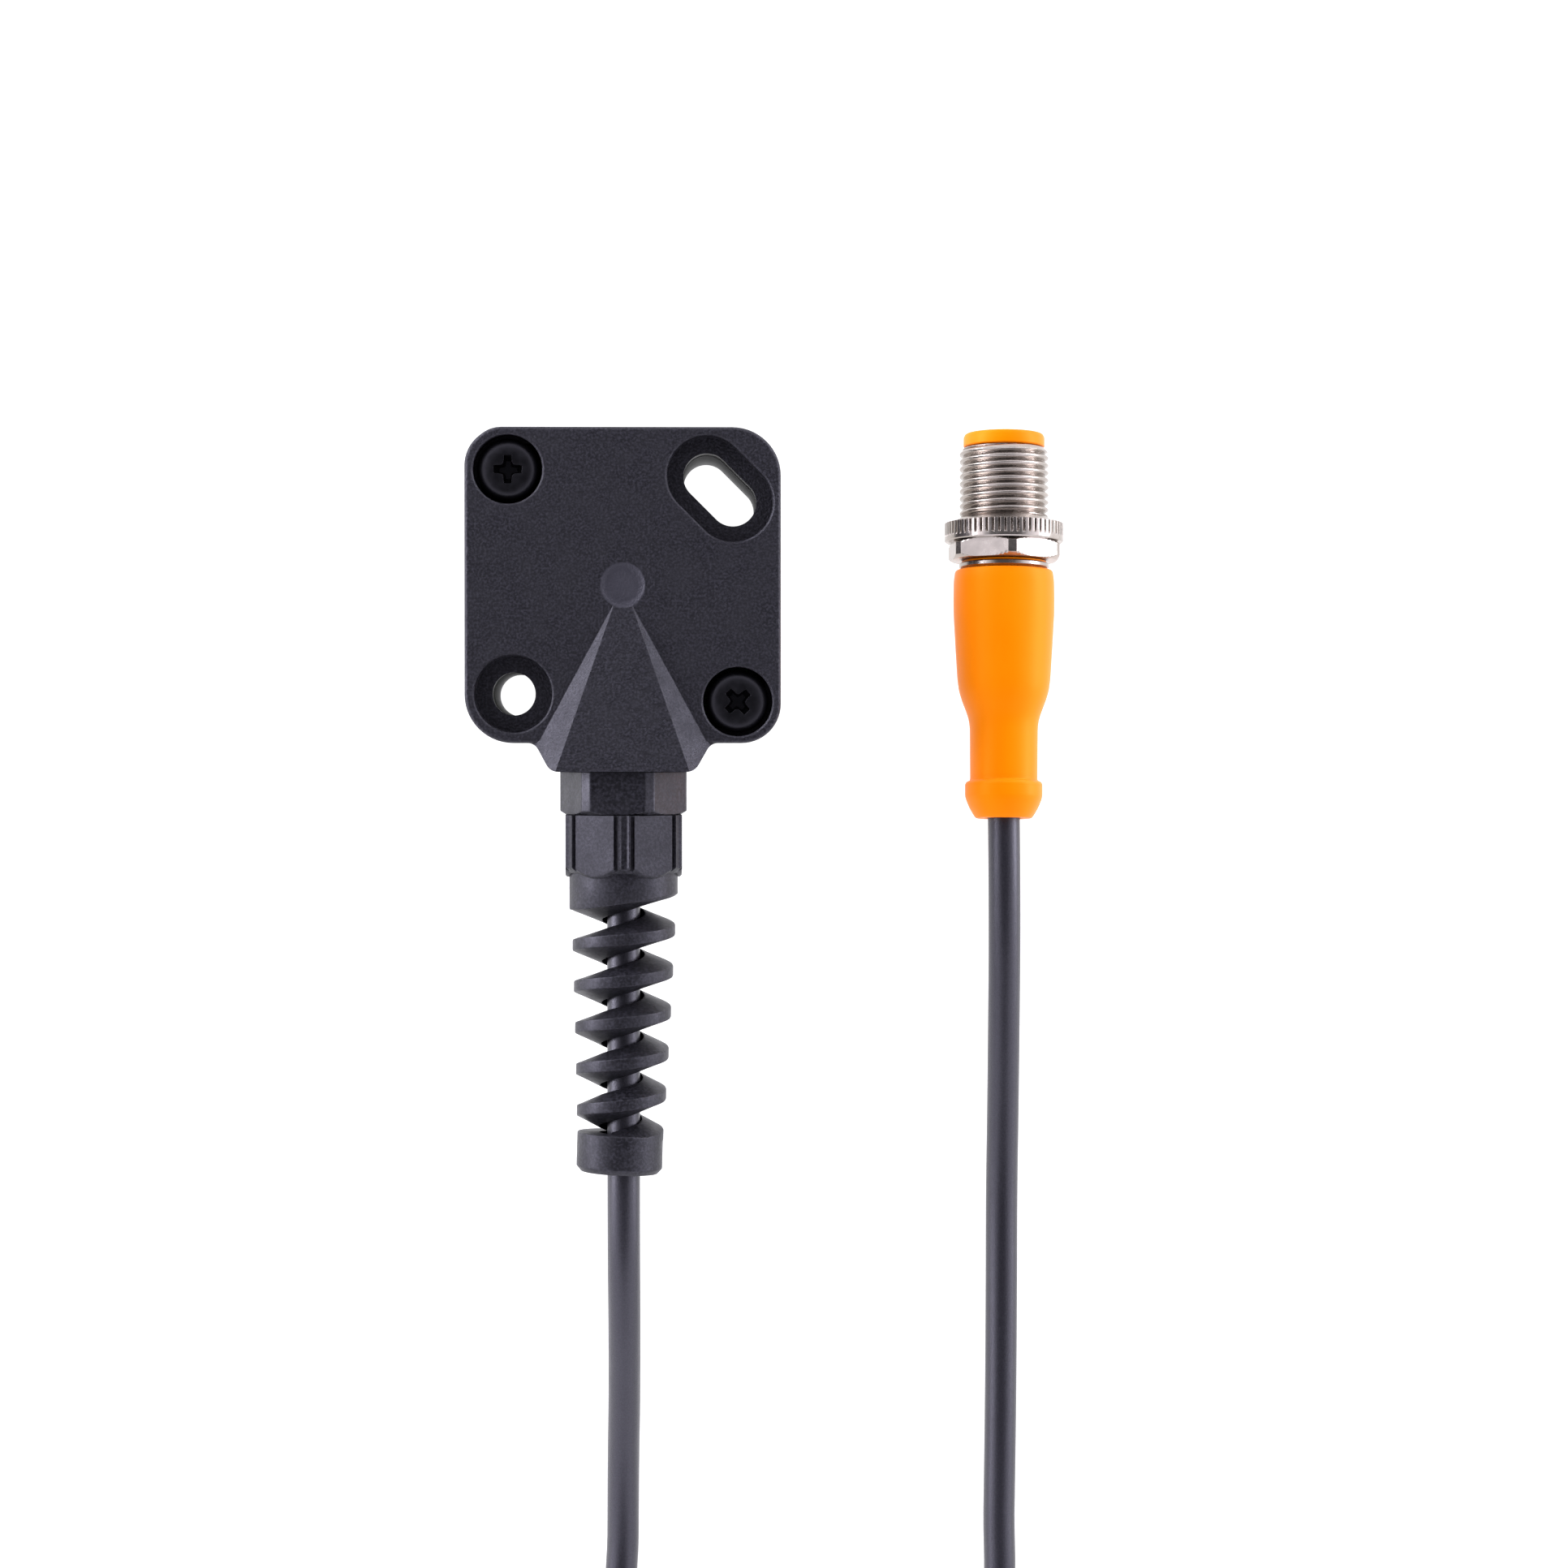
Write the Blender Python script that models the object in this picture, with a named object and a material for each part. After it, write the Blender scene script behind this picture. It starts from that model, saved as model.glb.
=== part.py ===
"""A block photoelectric sensor: a screwed housing with its optics, a spiral cable gland, and a
pigtail that ends in a screw plug. Metres, +Z up. The origin is the centre of the mounting face,
+Y points away from the cable gland, and the light leaves on the -X side."""

from math import cos, pi, radians, sin, tau

import bmesh
import bpy
from mathutils import Vector

MM = 0.001
GAP = 0.2 * MM  # between touching pieces
OVERSHOOT = 1 * MM  # a cutter reaches this far past the face it opens
ARC_STEPS = 5
SIDES = 32
SMALL_SIDES = 12
SMALLEST_RADIUS = 0.1 * MM
SHARP_ANGLE = radians(30)

# Housing block. Each corner of the plate is x, y and its radius, and one corner is cut off
SIDE = 41 * MM
HALF = SIDE / 2
HEIGHT = 25 * MM
CUT_X = 3.4 * MM
CUT_Y = 2.6 * MM
CUT_UPPER_RADIUS = 4.2 * MM
CUT_LOWER_RADIUS = 4.9 * MM
LARGE_RADIUS = 6.3 * MM
LOWER_RIGHT_RADIUS = 5.1 * MM
PLATE_CORNERS = (
    (HALF, HALF, LARGE_RADIUS),
    (-HALF + CUT_X, HALF, CUT_UPPER_RADIUS),
    (-HALF, HALF - CUT_Y, CUT_LOWER_RADIUS),
    (-HALF, -HALF, LARGE_RADIUS),
    (HALF, -HALF, LOWER_RIGHT_RADIUS),
)
EDGE = 0.5 * MM
WALL = 2 * MM
CEILING = HEIGHT - 2.5 * MM
DIMPLE_RADIUS = 3 * MM
DIMPLE_DEPTH = 0.3 * MM

# Hump: a flat facet that rises from the dimple to the end of the cable neck, with a flank each side
NECK_END = -24.2 * MM
NECK_BOTTOM = 11 * MM
NECK_ROOT = (11.3 * MM, -20.6 * MM)
NECK_TIP_X = 9.3 * MM
NECK_TIP_RADIUS = 1.8 * MM
NECK_CHAMFER = 4 * MM
FACET_START = Vector((1.26 * MM, -2.9 * MM, HEIGHT + 0.1 * MM))
FACET_END = Vector((8.65 * MM, NECK_END, HEIGHT + 3.3 * MM))
FOOT_START = (1.6 * MM, -2.6 * MM)
FOOT_END = Vector((10.95 * MM, -HALF, HEIGHT))

# Mounting hole and slanted mounting slot, each with a counterbore, a metal sleeve and a seal
HOLE = (-14.2 * MM, -14.1 * MM)
HOLE_WIDTH = 5.6 * MM
HOLE_COUNTERBORE = 10.1 * MM
SLOT = (12.6 * MM, 12.5 * MM)
SLOT_ANGLE = radians(-45)
SLOT_WIDTH = 6.1 * MM
SLOT_REACH = 4.8 * MM  # the slot is this much longer than wide
SLOT_COUNTERBORE = 10.4 * MM
SEAT_FLOOR = 22 * MM
SEAT_BOTTOM = 19.5 * MM
BOSS_WALL = 1 * MM
SLEEVE_WALL = 0.9 * MM
SLEEVE_TOP = 17 * MM

# Base cover, gasket, and cover screws with their threaded columns
BASE_TOP = 3 * MM
BASE_EDGE = 0.3 * MM
LIP = 0.6 * MM
LIP_DEPTH = 0.6 * MM
GASKET_WIDTH = 0.7 * MM
SCREWS = ((-14.9 * MM, 15.0 * MM), (14.9 * MM, -15.1 * MM))
SCREW_TURNS = (0, radians(42))  # how far each cross is turned
SCREW_COUNTERBORE = 4.5 * MM
SCREW_SEAT = 21.5 * MM
SCREW_HEAD_RADIUS = 4 * MM
SCREW_HEAD_TOP = 24.5 * MM
SCREW_HEAD_CROWN = 0.7 * MM
SCREW_SHANK_RADIUS = 1.9 * MM
SCREW_TIP = 3.5 * MM
SCREW_BOSS_RADIUS = 3.8 * MM
CROSS_SPAN = 4.1 * MM
CROSS_WIDTH = 0.9 * MM
CROSS_DEPTH = 1.6 * MM
COLUMN_RADIUS = 2.75 * MM
COLUMN_BOTTOM = 1 * MM
COLUMN_TOP = 9 * MM
COLUMN_BORE = 2.1 * MM

# Optics, in the wall on the -X side
WINDOW_CENTRE = (1 * MM, 13 * MM)  # y and z
WINDOW_SIZE = (17 * MM, 14 * MM)
WINDOW_THICKNESS = 1 * MM
WINDOW_LEDGE = 1 * MM
HOLDER_FRONT = -HALF + WALL + 0.3 * MM
HOLDER_BACK = -9.6 * MM
HOLDER_SIZE = (16.6 * MM, 12.4 * MM)
CHANNELS = (-3.2 * MM, 5.2 * MM)  # y of the emitter's and the receiver's channel
CHANNEL_RADIUS = 3.3 * MM
LENS_RADIUS = 3.7 * MM
LENS_RIM = 0.8 * MM
LENS_RISE = 1.3 * MM
GUIDE_HEIGHT = 17.6 * MM
GUIDE_RADIUS = 0.8 * MM
CHIP_DEPTH = 0.9 * MM
BOARD_THICKNESS = 1 * MM

# Electronics
MAIN_BOARD_BOTTOM = 4.8 * MM
MAIN_BOARD_TOP = MAIN_BOARD_BOTTOM + BOARD_THICKNESS
STANDOFF_RADIUS = 1.2 * MM
STANDOFF_TOP = MAIN_BOARD_BOTTOM - GAP
STANDOFFS = ((-7 * MM, -16 * MM), (7 * MM, -16 * MM), (-7 * MM, 15 * MM), (4.5 * MM, 15 * MM))
BOARD_EDGE = 17.6 * MM
BOARD_NOTCH_HOLE = 10 * MM
BOARD_NOTCH_SLOT = 6.2 * MM
BOARD_NOTCH_SCREW = 11.3 * MM
TERMINAL_SIZE = Vector((9, 4, 3.5)) * MM
TERMINAL_PLACE = (0, -6 * MM)
PROCESSOR_SIZE = Vector((7, 7, 1.2)) * MM
PROCESSOR_PLACE = (9 * MM, -1 * MM)
REGULATOR_SIZE = Vector((4, 5, 1.6)) * MM
REGULATOR_PLACE = (9 * MM, -8.5 * MM)
CAPACITOR_PLACE = (0, 7 * MM)
CAPACITOR_RADIUS = 2.5 * MM
CAPACITOR_HEIGHT = 6 * MM
CORE_RADIUS = 0.55 * MM
CORE_PITCH = 1.9 * MM

# Gland and spiral, on an axis along Y. Stations are y values
GLAND_HEIGHT = 19.5 * MM
THREAD_RADIUS = 5.9 * MM
THREAD_TIP = -17 * MM
THREAD_HOLE_RADIUS = 6.0 * MM
THREAD_HOLE_END = -15 * MM
RING_SEAT_RADIUS = 7.6 * MM
RING_SEAT_DEPTH = 1.3 * MM
RING_RADIUS = 6.75 * MM
RING_SECTION = 0.6 * MM
HEX_FLAT = 7.5 * MM  # from the axis to a flat
HEX_CORNER = 8.15 * MM
GLAND_TILT = radians(5.2)
GLAND_HEX = (NECK_END - 0.15 * MM, -29.7 * MM)
GLAND_END = -36 * MM
GLAND_BORE = 3 * MM
INSERT_BORE = 4.2 * MM
INSERT_START = -30.5 * MM
NUT_THREAD_RADIUS = 5.6 * MM
NUT = (-29.95 * MM, -37.5 * MM)
NUT_CHAMFER = 0.5 * MM
NUT_BORE = 5.8 * MM
NUT_BORE_END = -36.3 * MM
SPIRAL_BORE = 2.7 * MM
COLLAR_RADIUS = 7.1 * MM
COLLAR_END = -42.3 * MM
PITCH = 5.4 * MM
STRAND_START = -39.2 * MM
STRAND_TURNS = 6.0
STRAND_LEAN = 0.048  # how far the right side hangs below the left, over the distance between
STRAND_RADII = (6.9 * MM, 6.0 * MM)  # outer radius where it starts and ends
STRAND_BORE = 2.8 * MM
STRAND_OUTER = 1.5 * MM
STRAND_INNER = 3.9 * MM
STRAND_STEPS = 22  # in each turn
END_COLLAR_RADIUS = 5.75 * MM
END_COLLAR = (-71.6 * MM, -76.7 * MM)
END_CHAMFER = 0.8 * MM
CABLE_RADIUS = 2.15 * MM
INNER_CABLE = (-13.6 * MM, -75.2 * MM)

# The free cable's route, from the spiral's end down to the table, round a bend and up to the plug
CABLE_ROUTE = (
    (0.0, -0.0755, 0.0195),
    (0.0, -0.0795, 0.0195),
    (0.0, -0.0880, 0.0184),
    (0.0, -0.0980, 0.0146),
    (-0.0001, -0.1080, 0.0096),
    (-0.0003, -0.1180, 0.0053),
    (-0.0004, -0.1280, 0.0029),
    (-0.0005, -0.1380, 0.0023),
    (0.0030, -0.1508, 0.0023),
    (0.0123, -0.1601, 0.0023),
    (0.0250, -0.1636, 0.0023),
    (0.0378, -0.1601, 0.0023),
    (0.0471, -0.1508, 0.0023),
    (0.0505, -0.1380, 0.0023),
    (0.0507, -0.1250, 0.0023),
    (0.0509, -0.1100, 0.0023),
    (0.0510, -0.0950, 0.0023),
    (0.0510, -0.0820, 0.0028),
    (0.0510, -0.0700, 0.0047),
    (0.0509, -0.0580, 0.0075),
    (0.0508, -0.0480, 0.0097),
    (0.0507, -0.0400, 0.0108),
    (0.05065, -0.0346, 0.01090),
    (0.05061, -0.02883, 0.01056),
)
CABLE_STEP = 2 * 2 * CABLE_RADIUS

# Plug, on its own axis. Stations are distances from its tip, and it rests on its knurled nut
PLUG_X = 50.9 * MM
PLUG_Y = 20.95 * MM
PLUG_DIP = radians(4)
PLUG_YAW = radians(0.33)
TIP_RING_RADIUS = 5.43 * MM
TIP_RING_END = -1.8 * MM
CARRIER_RADIUS = 4.75 * MM
CARRIER_END = -24 * MM
CARRIER_FLANGE = (-17.2 * MM, -17.45 * MM)
CARRIER_FLANGE_RADIUS = 5.65 * MM
SOCKET_RADIUS = 4.2 * MM
SOCKET_DEPTH = 8 * MM
PIN_CIRCLE = 2.83 * MM
PIN_RADIUS = 0.5 * MM
PIN_HOLE_RADIUS = 0.6 * MM
PIN_TIP = -1.6 * MM
PIN_END = -14 * MM
NUT_FRONT = -1.95 * MM
PLUG_THREAD_RADIUS = 6.0 * MM
KNURL_FRONT = -12 * MM
KNURL_RADIUS = 7.94 * MM
KNURL_END = -14.6 * MM
PLUG_HEX_FLAT = 7 * MM
PLUG_HEX_CORNER = 8.05 * MM
PLUG_HEX_TURN = radians(4)
NUT_END = -17.1 * MM
COUPLING_BORE = 4.95 * MM
RETAINER = (-17.5 * MM, -18.3 * MM)
RETAINER_RADIUS = 6.0 * MM
BODY_FRONT = -18.4 * MM
BODY_PROFILE = tuple(
    (station * MM, radius * MM)
    for station, radius in (
        (-18.4, 6.2),
        (-18.75, 6.55),
        (-19.7, 6.72),
        (-23.55, 6.74),
        (-28.55, 6.47),
        (-33.45, 6.2),
        (-35.55, 5.76),
        (-37.75, 5.0),
        (-39.05, 4.57),
        (-46.45, 4.5),
        (-47.05, 5.17),
        (-48.65, 5.17),
        (-50.25, 4.62),
        (-51.35, 3.97),
        (-51.65, 3.7),
    )
)
BODY_END = BODY_PROFILE[-1][0]
TAIL_SOCKET_DEPTH = 2 * MM

scene = bpy.context.scene


def clear_scene():
    for obj in list(bpy.data.objects):
        bpy.data.objects.remove(obj)


def material(name, colour, roughness, metallic=0.0, alpha=1.0):
    made = bpy.data.materials.new(name)
    made.use_nodes = True
    shader = made.node_tree.nodes["Principled BSDF"]
    shader.inputs["Base Color"].default_value = (*colour, 1)
    shader.inputs["Roughness"].default_value = roughness
    shader.inputs["Metallic"].default_value = metallic
    shader.inputs["Alpha"].default_value = alpha
    return made


# Building blocks ---------------------------------------------------------------------------------


def rounded_outline(corners, inset=0.0):
    """Points of a polygon with rounded corners, moved inwards by inset."""
    points = []
    for index, (x, y, radius) in enumerate(corners):
        corner = Vector((x, y, 0))
        before = (Vector((*corners[index - 1][:2], 0)) - corner).normalized()
        after = (Vector((*corners[(index + 1) % len(corners)][:2], 0)) - corner).normalized()
        middle = (before + after).normalized()
        inner_radius = max(radius - inset, SMALLEST_RADIUS)
        centre = corner + middle * (inset + inner_radius) / sin(before.angle(after) / 2)
        start = (before * middle.dot(before) - middle).normalized()
        end = (after * middle.dot(after) - middle).normalized()
        for step in range(ARC_STEPS + 1):
            point = centre + start.slerp(end, step / ARC_STEPS) * inner_radius
            points.append((point.x, point.y))
    return points


def stadium(centre, width, reach=0.0, angle=0.0, sides=SIDES):
    """Points of a circle drawn out by reach along angle: a slot's outline."""
    points = []
    for step in range(sides):
        turn = tau * step / sides + pi / sides
        shift = reach / 2 if cos(turn) > 0 else -reach / 2
        x = width / 2 * cos(turn) + shift
        y = width / 2 * sin(turn)
        points.append(
            (
                centre[0] + x * cos(angle) - y * sin(angle),
                centre[1] + x * sin(angle) + y * cos(angle),
            )
        )
    return points


def skin(rings, closed=False):
    """A closed surface over rings of points: the ends are capped, or joined when closed."""
    bm = bmesh.new()
    loops = [[bm.verts.new(point) for point in ring] for ring in rings]
    pairs = list(zip(loops, loops[1:]))
    if closed:
        pairs.append((loops[-1], loops[0]))
    for lower, upper in pairs:
        for index in range(len(lower)):
            after = (index + 1) % len(lower)
            bm.faces.new((lower[index], lower[after], upper[after], upper[index]))
    if not closed:
        bm.faces.new(loops[0])
        bm.faces.new(loops[-1])
    bmesh.ops.recalc_face_normals(bm, faces=bm.faces)
    return bm


def slab(levels, closed=False):
    """A solid over plan outlines: levels holds (z, outline) from one end to the other."""
    return skin([[(x, y, z) for x, y in outline] for z, outline in levels], closed)


def plate(bottom, top, inset=0.0):
    """A slab with the housing's plan outline."""
    outline = rounded_outline(PLATE_CORNERS, inset)
    return slab(((bottom, outline), (top, outline)))


def tube(outer, inner, bottom, top):
    """An upright ring between two plan outlines."""
    return slab(((bottom, outer), (top, outer), (top, inner), (bottom, inner)), closed=True)


def hexagon(flat, corner, turn=0.0):
    """A hexagon's radius at each angle, with its corners turned down to a circle."""
    sector = tau / 6

    def radius(angle):
        return min(flat / cos((angle - turn) % sector - sector / 2), corner)

    return radius


def around(station, radius, sides=SIDES):
    """A ring of points about the Y axis. A corner or a flat faces +Z, and radius may be a function."""
    ring = []
    for step in range(sides):
        angle = tau * step / sides
        reach = radius(angle) if callable(radius) else radius
        ring.append((reach * sin(angle), station, reach * cos(angle)))
    return ring


def barrel(sections, bore=(), sides=SIDES):
    """A solid about the Y axis from (station, radius) sections, with a bore right through it."""
    rings = [around(station, radius, sides) for station, radius in (*sections, *reversed(bore))]
    return skin(rings, closed=bool(bore))


def box(size, centre):
    bm = bmesh.new()
    bmesh.ops.create_cube(bm, size=1)
    bmesh.ops.scale(bm, vec=size, verts=bm.verts)
    bmesh.ops.translate(bm, vec=centre, verts=bm.verts)
    return bm


def add(name, bm, look=None, parent=None, place=(0, 0, 0), turn=(0, 0, 0)):
    """An object from a bmesh, placed by its location and rotation."""
    mesh = bpy.data.meshes.new(name)
    bm.to_mesh(mesh)
    bm.free()
    obj = bpy.data.objects.new(name, mesh)
    scene.collection.objects.link(obj)
    mesh.shade_smooth()
    mesh.set_sharp_from_angle(angle=SHARP_ANGLE)
    if look:
        mesh.materials.append(look)
    obj.parent = parent
    obj.location = place
    obj.rotation_euler = turn
    return obj


def combine(obj, bm, operation, **placing):
    """Cuts bm from obj, or joins bm to it, with a hidden helper object."""
    helper = add(obj.name + "_helper", bm, **placing)
    helper.hide_render = True
    helper.display_type = "WIRE"
    boolean = obj.modifiers.new(operation.lower(), "BOOLEAN")
    boolean.operation = operation
    boolean.object = helper


def cut(obj, bm, **placing):
    combine(obj, bm, "DIFFERENCE", **placing)


def fuse(obj, bm, **placing):
    combine(obj, bm, "UNION", **placing)


def wire(name, points, radius, look):
    """A tube with filled ends along points."""
    curve = bpy.data.curves.new(name, "CURVE")
    curve.dimensions = "3D"
    curve.bevel_depth = radius
    curve.bevel_resolution = 2
    curve.use_fill_caps = True
    spline = curve.splines.new("POLY")
    spline.points.add(len(points) - 1)
    for point, place in zip(spline.points, points):
        point.co = (*place, 1)
    curve.materials.append(look)
    scene.collection.objects.link(bpy.data.objects.new(name, curve))


def smooth_route(points, step):
    """Points every step or so along a smooth curve through points."""
    points = [Vector(point) for point in points]
    points = [2 * points[0] - points[1], *points, 2 * points[-1] - points[-2]]
    route = []
    for before, start, end, after in zip(points, points[1:], points[2:], points[3:]):
        length = (end - start).length
        leave = (end - before) * length / ((end - start).length + (start - before).length)
        arrive = (after - start) * length / ((after - end).length + (end - start).length)
        count = max(1, round(length / step))
        for index in range(count):
            t = index / count
            route.append(
                start * (2 * t**3 - 3 * t**2 + 1)
                + end * (3 * t**2 - 2 * t**3)
                + leave * (t**3 - 2 * t**2 + t)
                + arrive * (t**3 - t**2)
            )
    return [*route, points[-2]]


# Housing -----------------------------------------------------------------------------------------


def hump_and_neck():
    """The wedge on the plate and the neck beyond it, cut by the facet, flanks and lower chamfers."""
    side = (
        (NECK_TIP_X, NECK_END, NECK_TIP_RADIUS),
        (*NECK_ROOT, SMALLEST_RADIUS),
        (*FOOT_START, SMALLEST_RADIUS),
    )
    mirrored = tuple((-x, y, radius) for x, y, radius in reversed(side))
    outline = rounded_outline((*side, *mirrored))
    bm = slab(((NECK_BOTTOM, outline), (HEIGHT + (FACET_END.z - HEIGHT) * 2, outline)))
    mirror = Vector((-1, 1, 1))
    facet = (FACET_START, FACET_END, FACET_END * mirror)
    flank = (FACET_START, FACET_END, FOOT_END)
    chamfer = (
        Vector((NECK_ROOT[0], 0, NECK_BOTTOM + NECK_CHAMFER)),
        Vector((NECK_ROOT[0], NECK_END, NECK_BOTTOM + NECK_CHAMFER)),
        Vector((NECK_ROOT[0] - NECK_CHAMFER, 0, NECK_BOTTOM)),
    )
    inside = Vector((0, NECK_END / 2, GLAND_HEIGHT))
    planes = [facet, flank, chamfer]
    planes += [tuple(point * mirror for point in plane) for plane in (flank, chamfer)]
    for a, b, c in planes:
        normal = (b - a).cross(c - a).normalized()
        if normal.dot(inside - a) > 0:
            normal = -normal
        geometry = bm.verts[:] + bm.edges[:] + bm.faces[:]
        halved = bmesh.ops.bisect_plane(
            bm, geom=geometry, plane_co=a, plane_no=normal, clear_outer=True, dist=SMALLEST_RADIUS / 100
        )
        rim = [item for item in halved["geom_cut"] if isinstance(item, bmesh.types.BMEdge)]
        bmesh.ops.contextual_create(bm, geom=rim)
    bmesh.ops.recalc_face_normals(bm, faces=bm.faces)
    return bm


def make_housing(look):
    outline = rounded_outline(PLATE_CORNERS)
    levels = [(BASE_TOP + GAP, outline)]
    for step in range(3):
        angle = pi / 2 * step / 2
        inset = EDGE * (1 - cos(angle))
        levels.append((HEIGHT - EDGE * (1 - sin(angle)), rounded_outline(PLATE_CORNERS, inset)))
    housing = add("housing", slab(levels), look)
    fuse(housing, hump_and_neck())
    cut(housing, plate(0, CEILING, WALL))

    boss_top = CEILING + OVERSHOOT
    column_rest = COLUMN_TOP + GAP
    seats = (
        (HOLE, HOLE_COUNTERBORE, HOLE_WIDTH, 0),
        (SLOT, SLOT_COUNTERBORE, SLOT_WIDTH, SLOT_REACH),
    )
    for centre, width, _, reach in seats:
        boss = stadium(centre, width + 2 * BOSS_WALL, reach, SLOT_ANGLE)
        fuse(housing, slab(((SEAT_BOTTOM, boss), (boss_top, boss))))
    for centre in SCREWS:
        clearance = stadium(centre, 2 * (COLUMN_RADIUS + GAP))
        cut(housing, slab(((0, clearance), (column_rest + OVERSHOOT, clearance))))
        boss = stadium(centre, 2 * SCREW_BOSS_RADIUS)
        fuse(housing, slab(((column_rest, boss), (boss_top, boss))))

    top = HEIGHT + OVERSHOOT
    for centre, width, hole, reach in seats:
        counterbore = stadium(centre, width, reach, SLOT_ANGLE)
        through = stadium(centre, hole, reach, SLOT_ANGLE)
        cut(housing, slab(((SEAT_FLOOR, counterbore), (top, counterbore))))
        cut(housing, slab(((SEAT_BOTTOM - OVERSHOOT, through), (top, through))))
    for centre in SCREWS:
        counterbore = stadium(centre, 2 * SCREW_COUNTERBORE)
        through = stadium(centre, 2 * (SCREW_SHANK_RADIUS + GAP))
        cut(housing, slab(((SCREW_SEAT, counterbore), (top, counterbore))))
        cut(housing, slab(((column_rest - OVERSHOOT, through), (top, through))))

    dimple = stadium((0, 0), 2 * DIMPLE_RADIUS)
    cut(housing, slab(((HEIGHT - DIMPLE_DEPTH, dimple), (top, dimple))))
    cut(housing, plate(BASE_TOP, BASE_TOP + GAP + LIP_DEPTH, LIP))

    mouth = NECK_END - OVERSHOOT
    axis = (0, 0, GLAND_HEIGHT)
    thread = barrel(((mouth, THREAD_HOLE_RADIUS), (THREAD_HOLE_END, THREAD_HOLE_RADIUS)))
    cut(housing, thread, place=axis)
    seat_end = NECK_END + RING_SEAT_DEPTH
    cut(housing, barrel(((mouth, RING_SEAT_RADIUS), (seat_end, RING_SEAT_RADIUS))), place=axis)

    centre_y, centre_z = WINDOW_CENTRE
    width, height = WINDOW_SIZE
    recess = 2 * (WINDOW_THICKNESS + GAP)
    cut(housing, box((recess, width, height), (-HALF, centre_y, centre_z)))
    opening = (4 * WALL, width - 2 * WINDOW_LEDGE, height - 2 * WINDOW_LEDGE)
    cut(housing, box(opening, (-HALF, centre_y, centre_z)))


def make_base_cover(look):
    outline = rounded_outline(PLATE_CORNERS)
    foot = rounded_outline(PLATE_CORNERS, BASE_EDGE)
    base = add("base_cover", slab(((0, foot), (BASE_EDGE, outline), (BASE_TOP, outline))), look)
    for centre in STANDOFFS:
        post = stadium(centre, 2 * STANDOFF_RADIUS, sides=SMALL_SIDES)
        fuse(base, slab(((BASE_TOP / 2, post), (STANDOFF_TOP, post))))
    clear = 2 * (SLEEVE_WALL + GAP)
    for centre, width, reach in ((HOLE, HOLE_WIDTH, 0), (SLOT, SLOT_WIDTH, SLOT_REACH)):
        hole = stadium(centre, width + clear, reach, SLOT_ANGLE)
        cut(base, slab(((-OVERSHOOT, hole), (BASE_TOP + OVERSHOOT, hole))))
    for centre in SCREWS:
        pocket = stadium(centre, 2 * (COLUMN_RADIUS + GAP))
        cut(base, slab(((COLUMN_BOTTOM - GAP, pocket), (BASE_TOP + OVERSHOOT, pocket))))


def make_gasket(look):
    outer = rounded_outline(PLATE_CORNERS, LIP + GAP)
    inner = rounded_outline(PLATE_CORNERS, LIP + GAP + GASKET_WIDTH)
    top = BASE_TOP + LIP_DEPTH
    add("perimeter_gasket", tube(outer, inner, BASE_TOP + GAP / 2, top), look)


def make_sleeves(steel, rubber):
    rows = (("round", HOLE, HOLE_WIDTH, 0), ("slotted", SLOT, SLOT_WIDTH, SLOT_REACH))
    for name, centre, width, reach in rows:
        inner = stadium(centre, width, reach, SLOT_ANGLE)
        outer = stadium(centre, width + 2 * SLEEVE_WALL, reach, SLOT_ANGLE)
        add("mounting_sleeve_" + name, tube(outer, inner, 0, SLEEVE_TOP), steel)
        seal = tube(outer, inner, SLEEVE_TOP + GAP, SEAT_BOTTOM - GAP)
        add("sleeve_seal_" + name, seal, rubber)


def make_screws(steel, brass):
    for number, (centre, turn) in enumerate(zip(SCREWS, SCREW_TURNS), 1):
        shank = stadium((0, 0), 2 * SCREW_SHANK_RADIUS)
        head = stadium((0, 0), 2 * SCREW_HEAD_RADIUS)
        crown = stadium((0, 0), 2 * (SCREW_HEAD_RADIUS - SCREW_HEAD_CROWN))
        seat = SCREW_SEAT + GAP
        shoulder = SCREW_HEAD_TOP - SCREW_HEAD_CROWN
        levels = ((SCREW_TIP, shank), (seat, shank), (seat, head), (shoulder, head), (SCREW_HEAD_TOP, crown))
        name = f"cover_screw_{number}"
        screw = add(name, slab(levels), steel, place=(*centre, 0), turn=(0, 0, turn))
        for size in ((CROSS_SPAN, CROSS_WIDTH), (CROSS_WIDTH, CROSS_SPAN)):
            slot = box((*size, 2 * CROSS_DEPTH), (0, 0, SCREW_HEAD_TOP))
            cut(screw, slot, place=(*centre, 0), turn=(0, 0, turn))
        outer = stadium(centre, 2 * COLUMN_RADIUS)
        bore = stadium(centre, 2 * COLUMN_BORE)
        floor = COLUMN_BOTTOM + OVERSHOOT
        levels = ((COLUMN_BOTTOM, outer), (COLUMN_TOP, outer), (COLUMN_TOP, bore), (floor, bore))
        add(f"threaded_column_{number}", slab(levels), brass)


# Optics and electronics --------------------------------------------------------------------------


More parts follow.
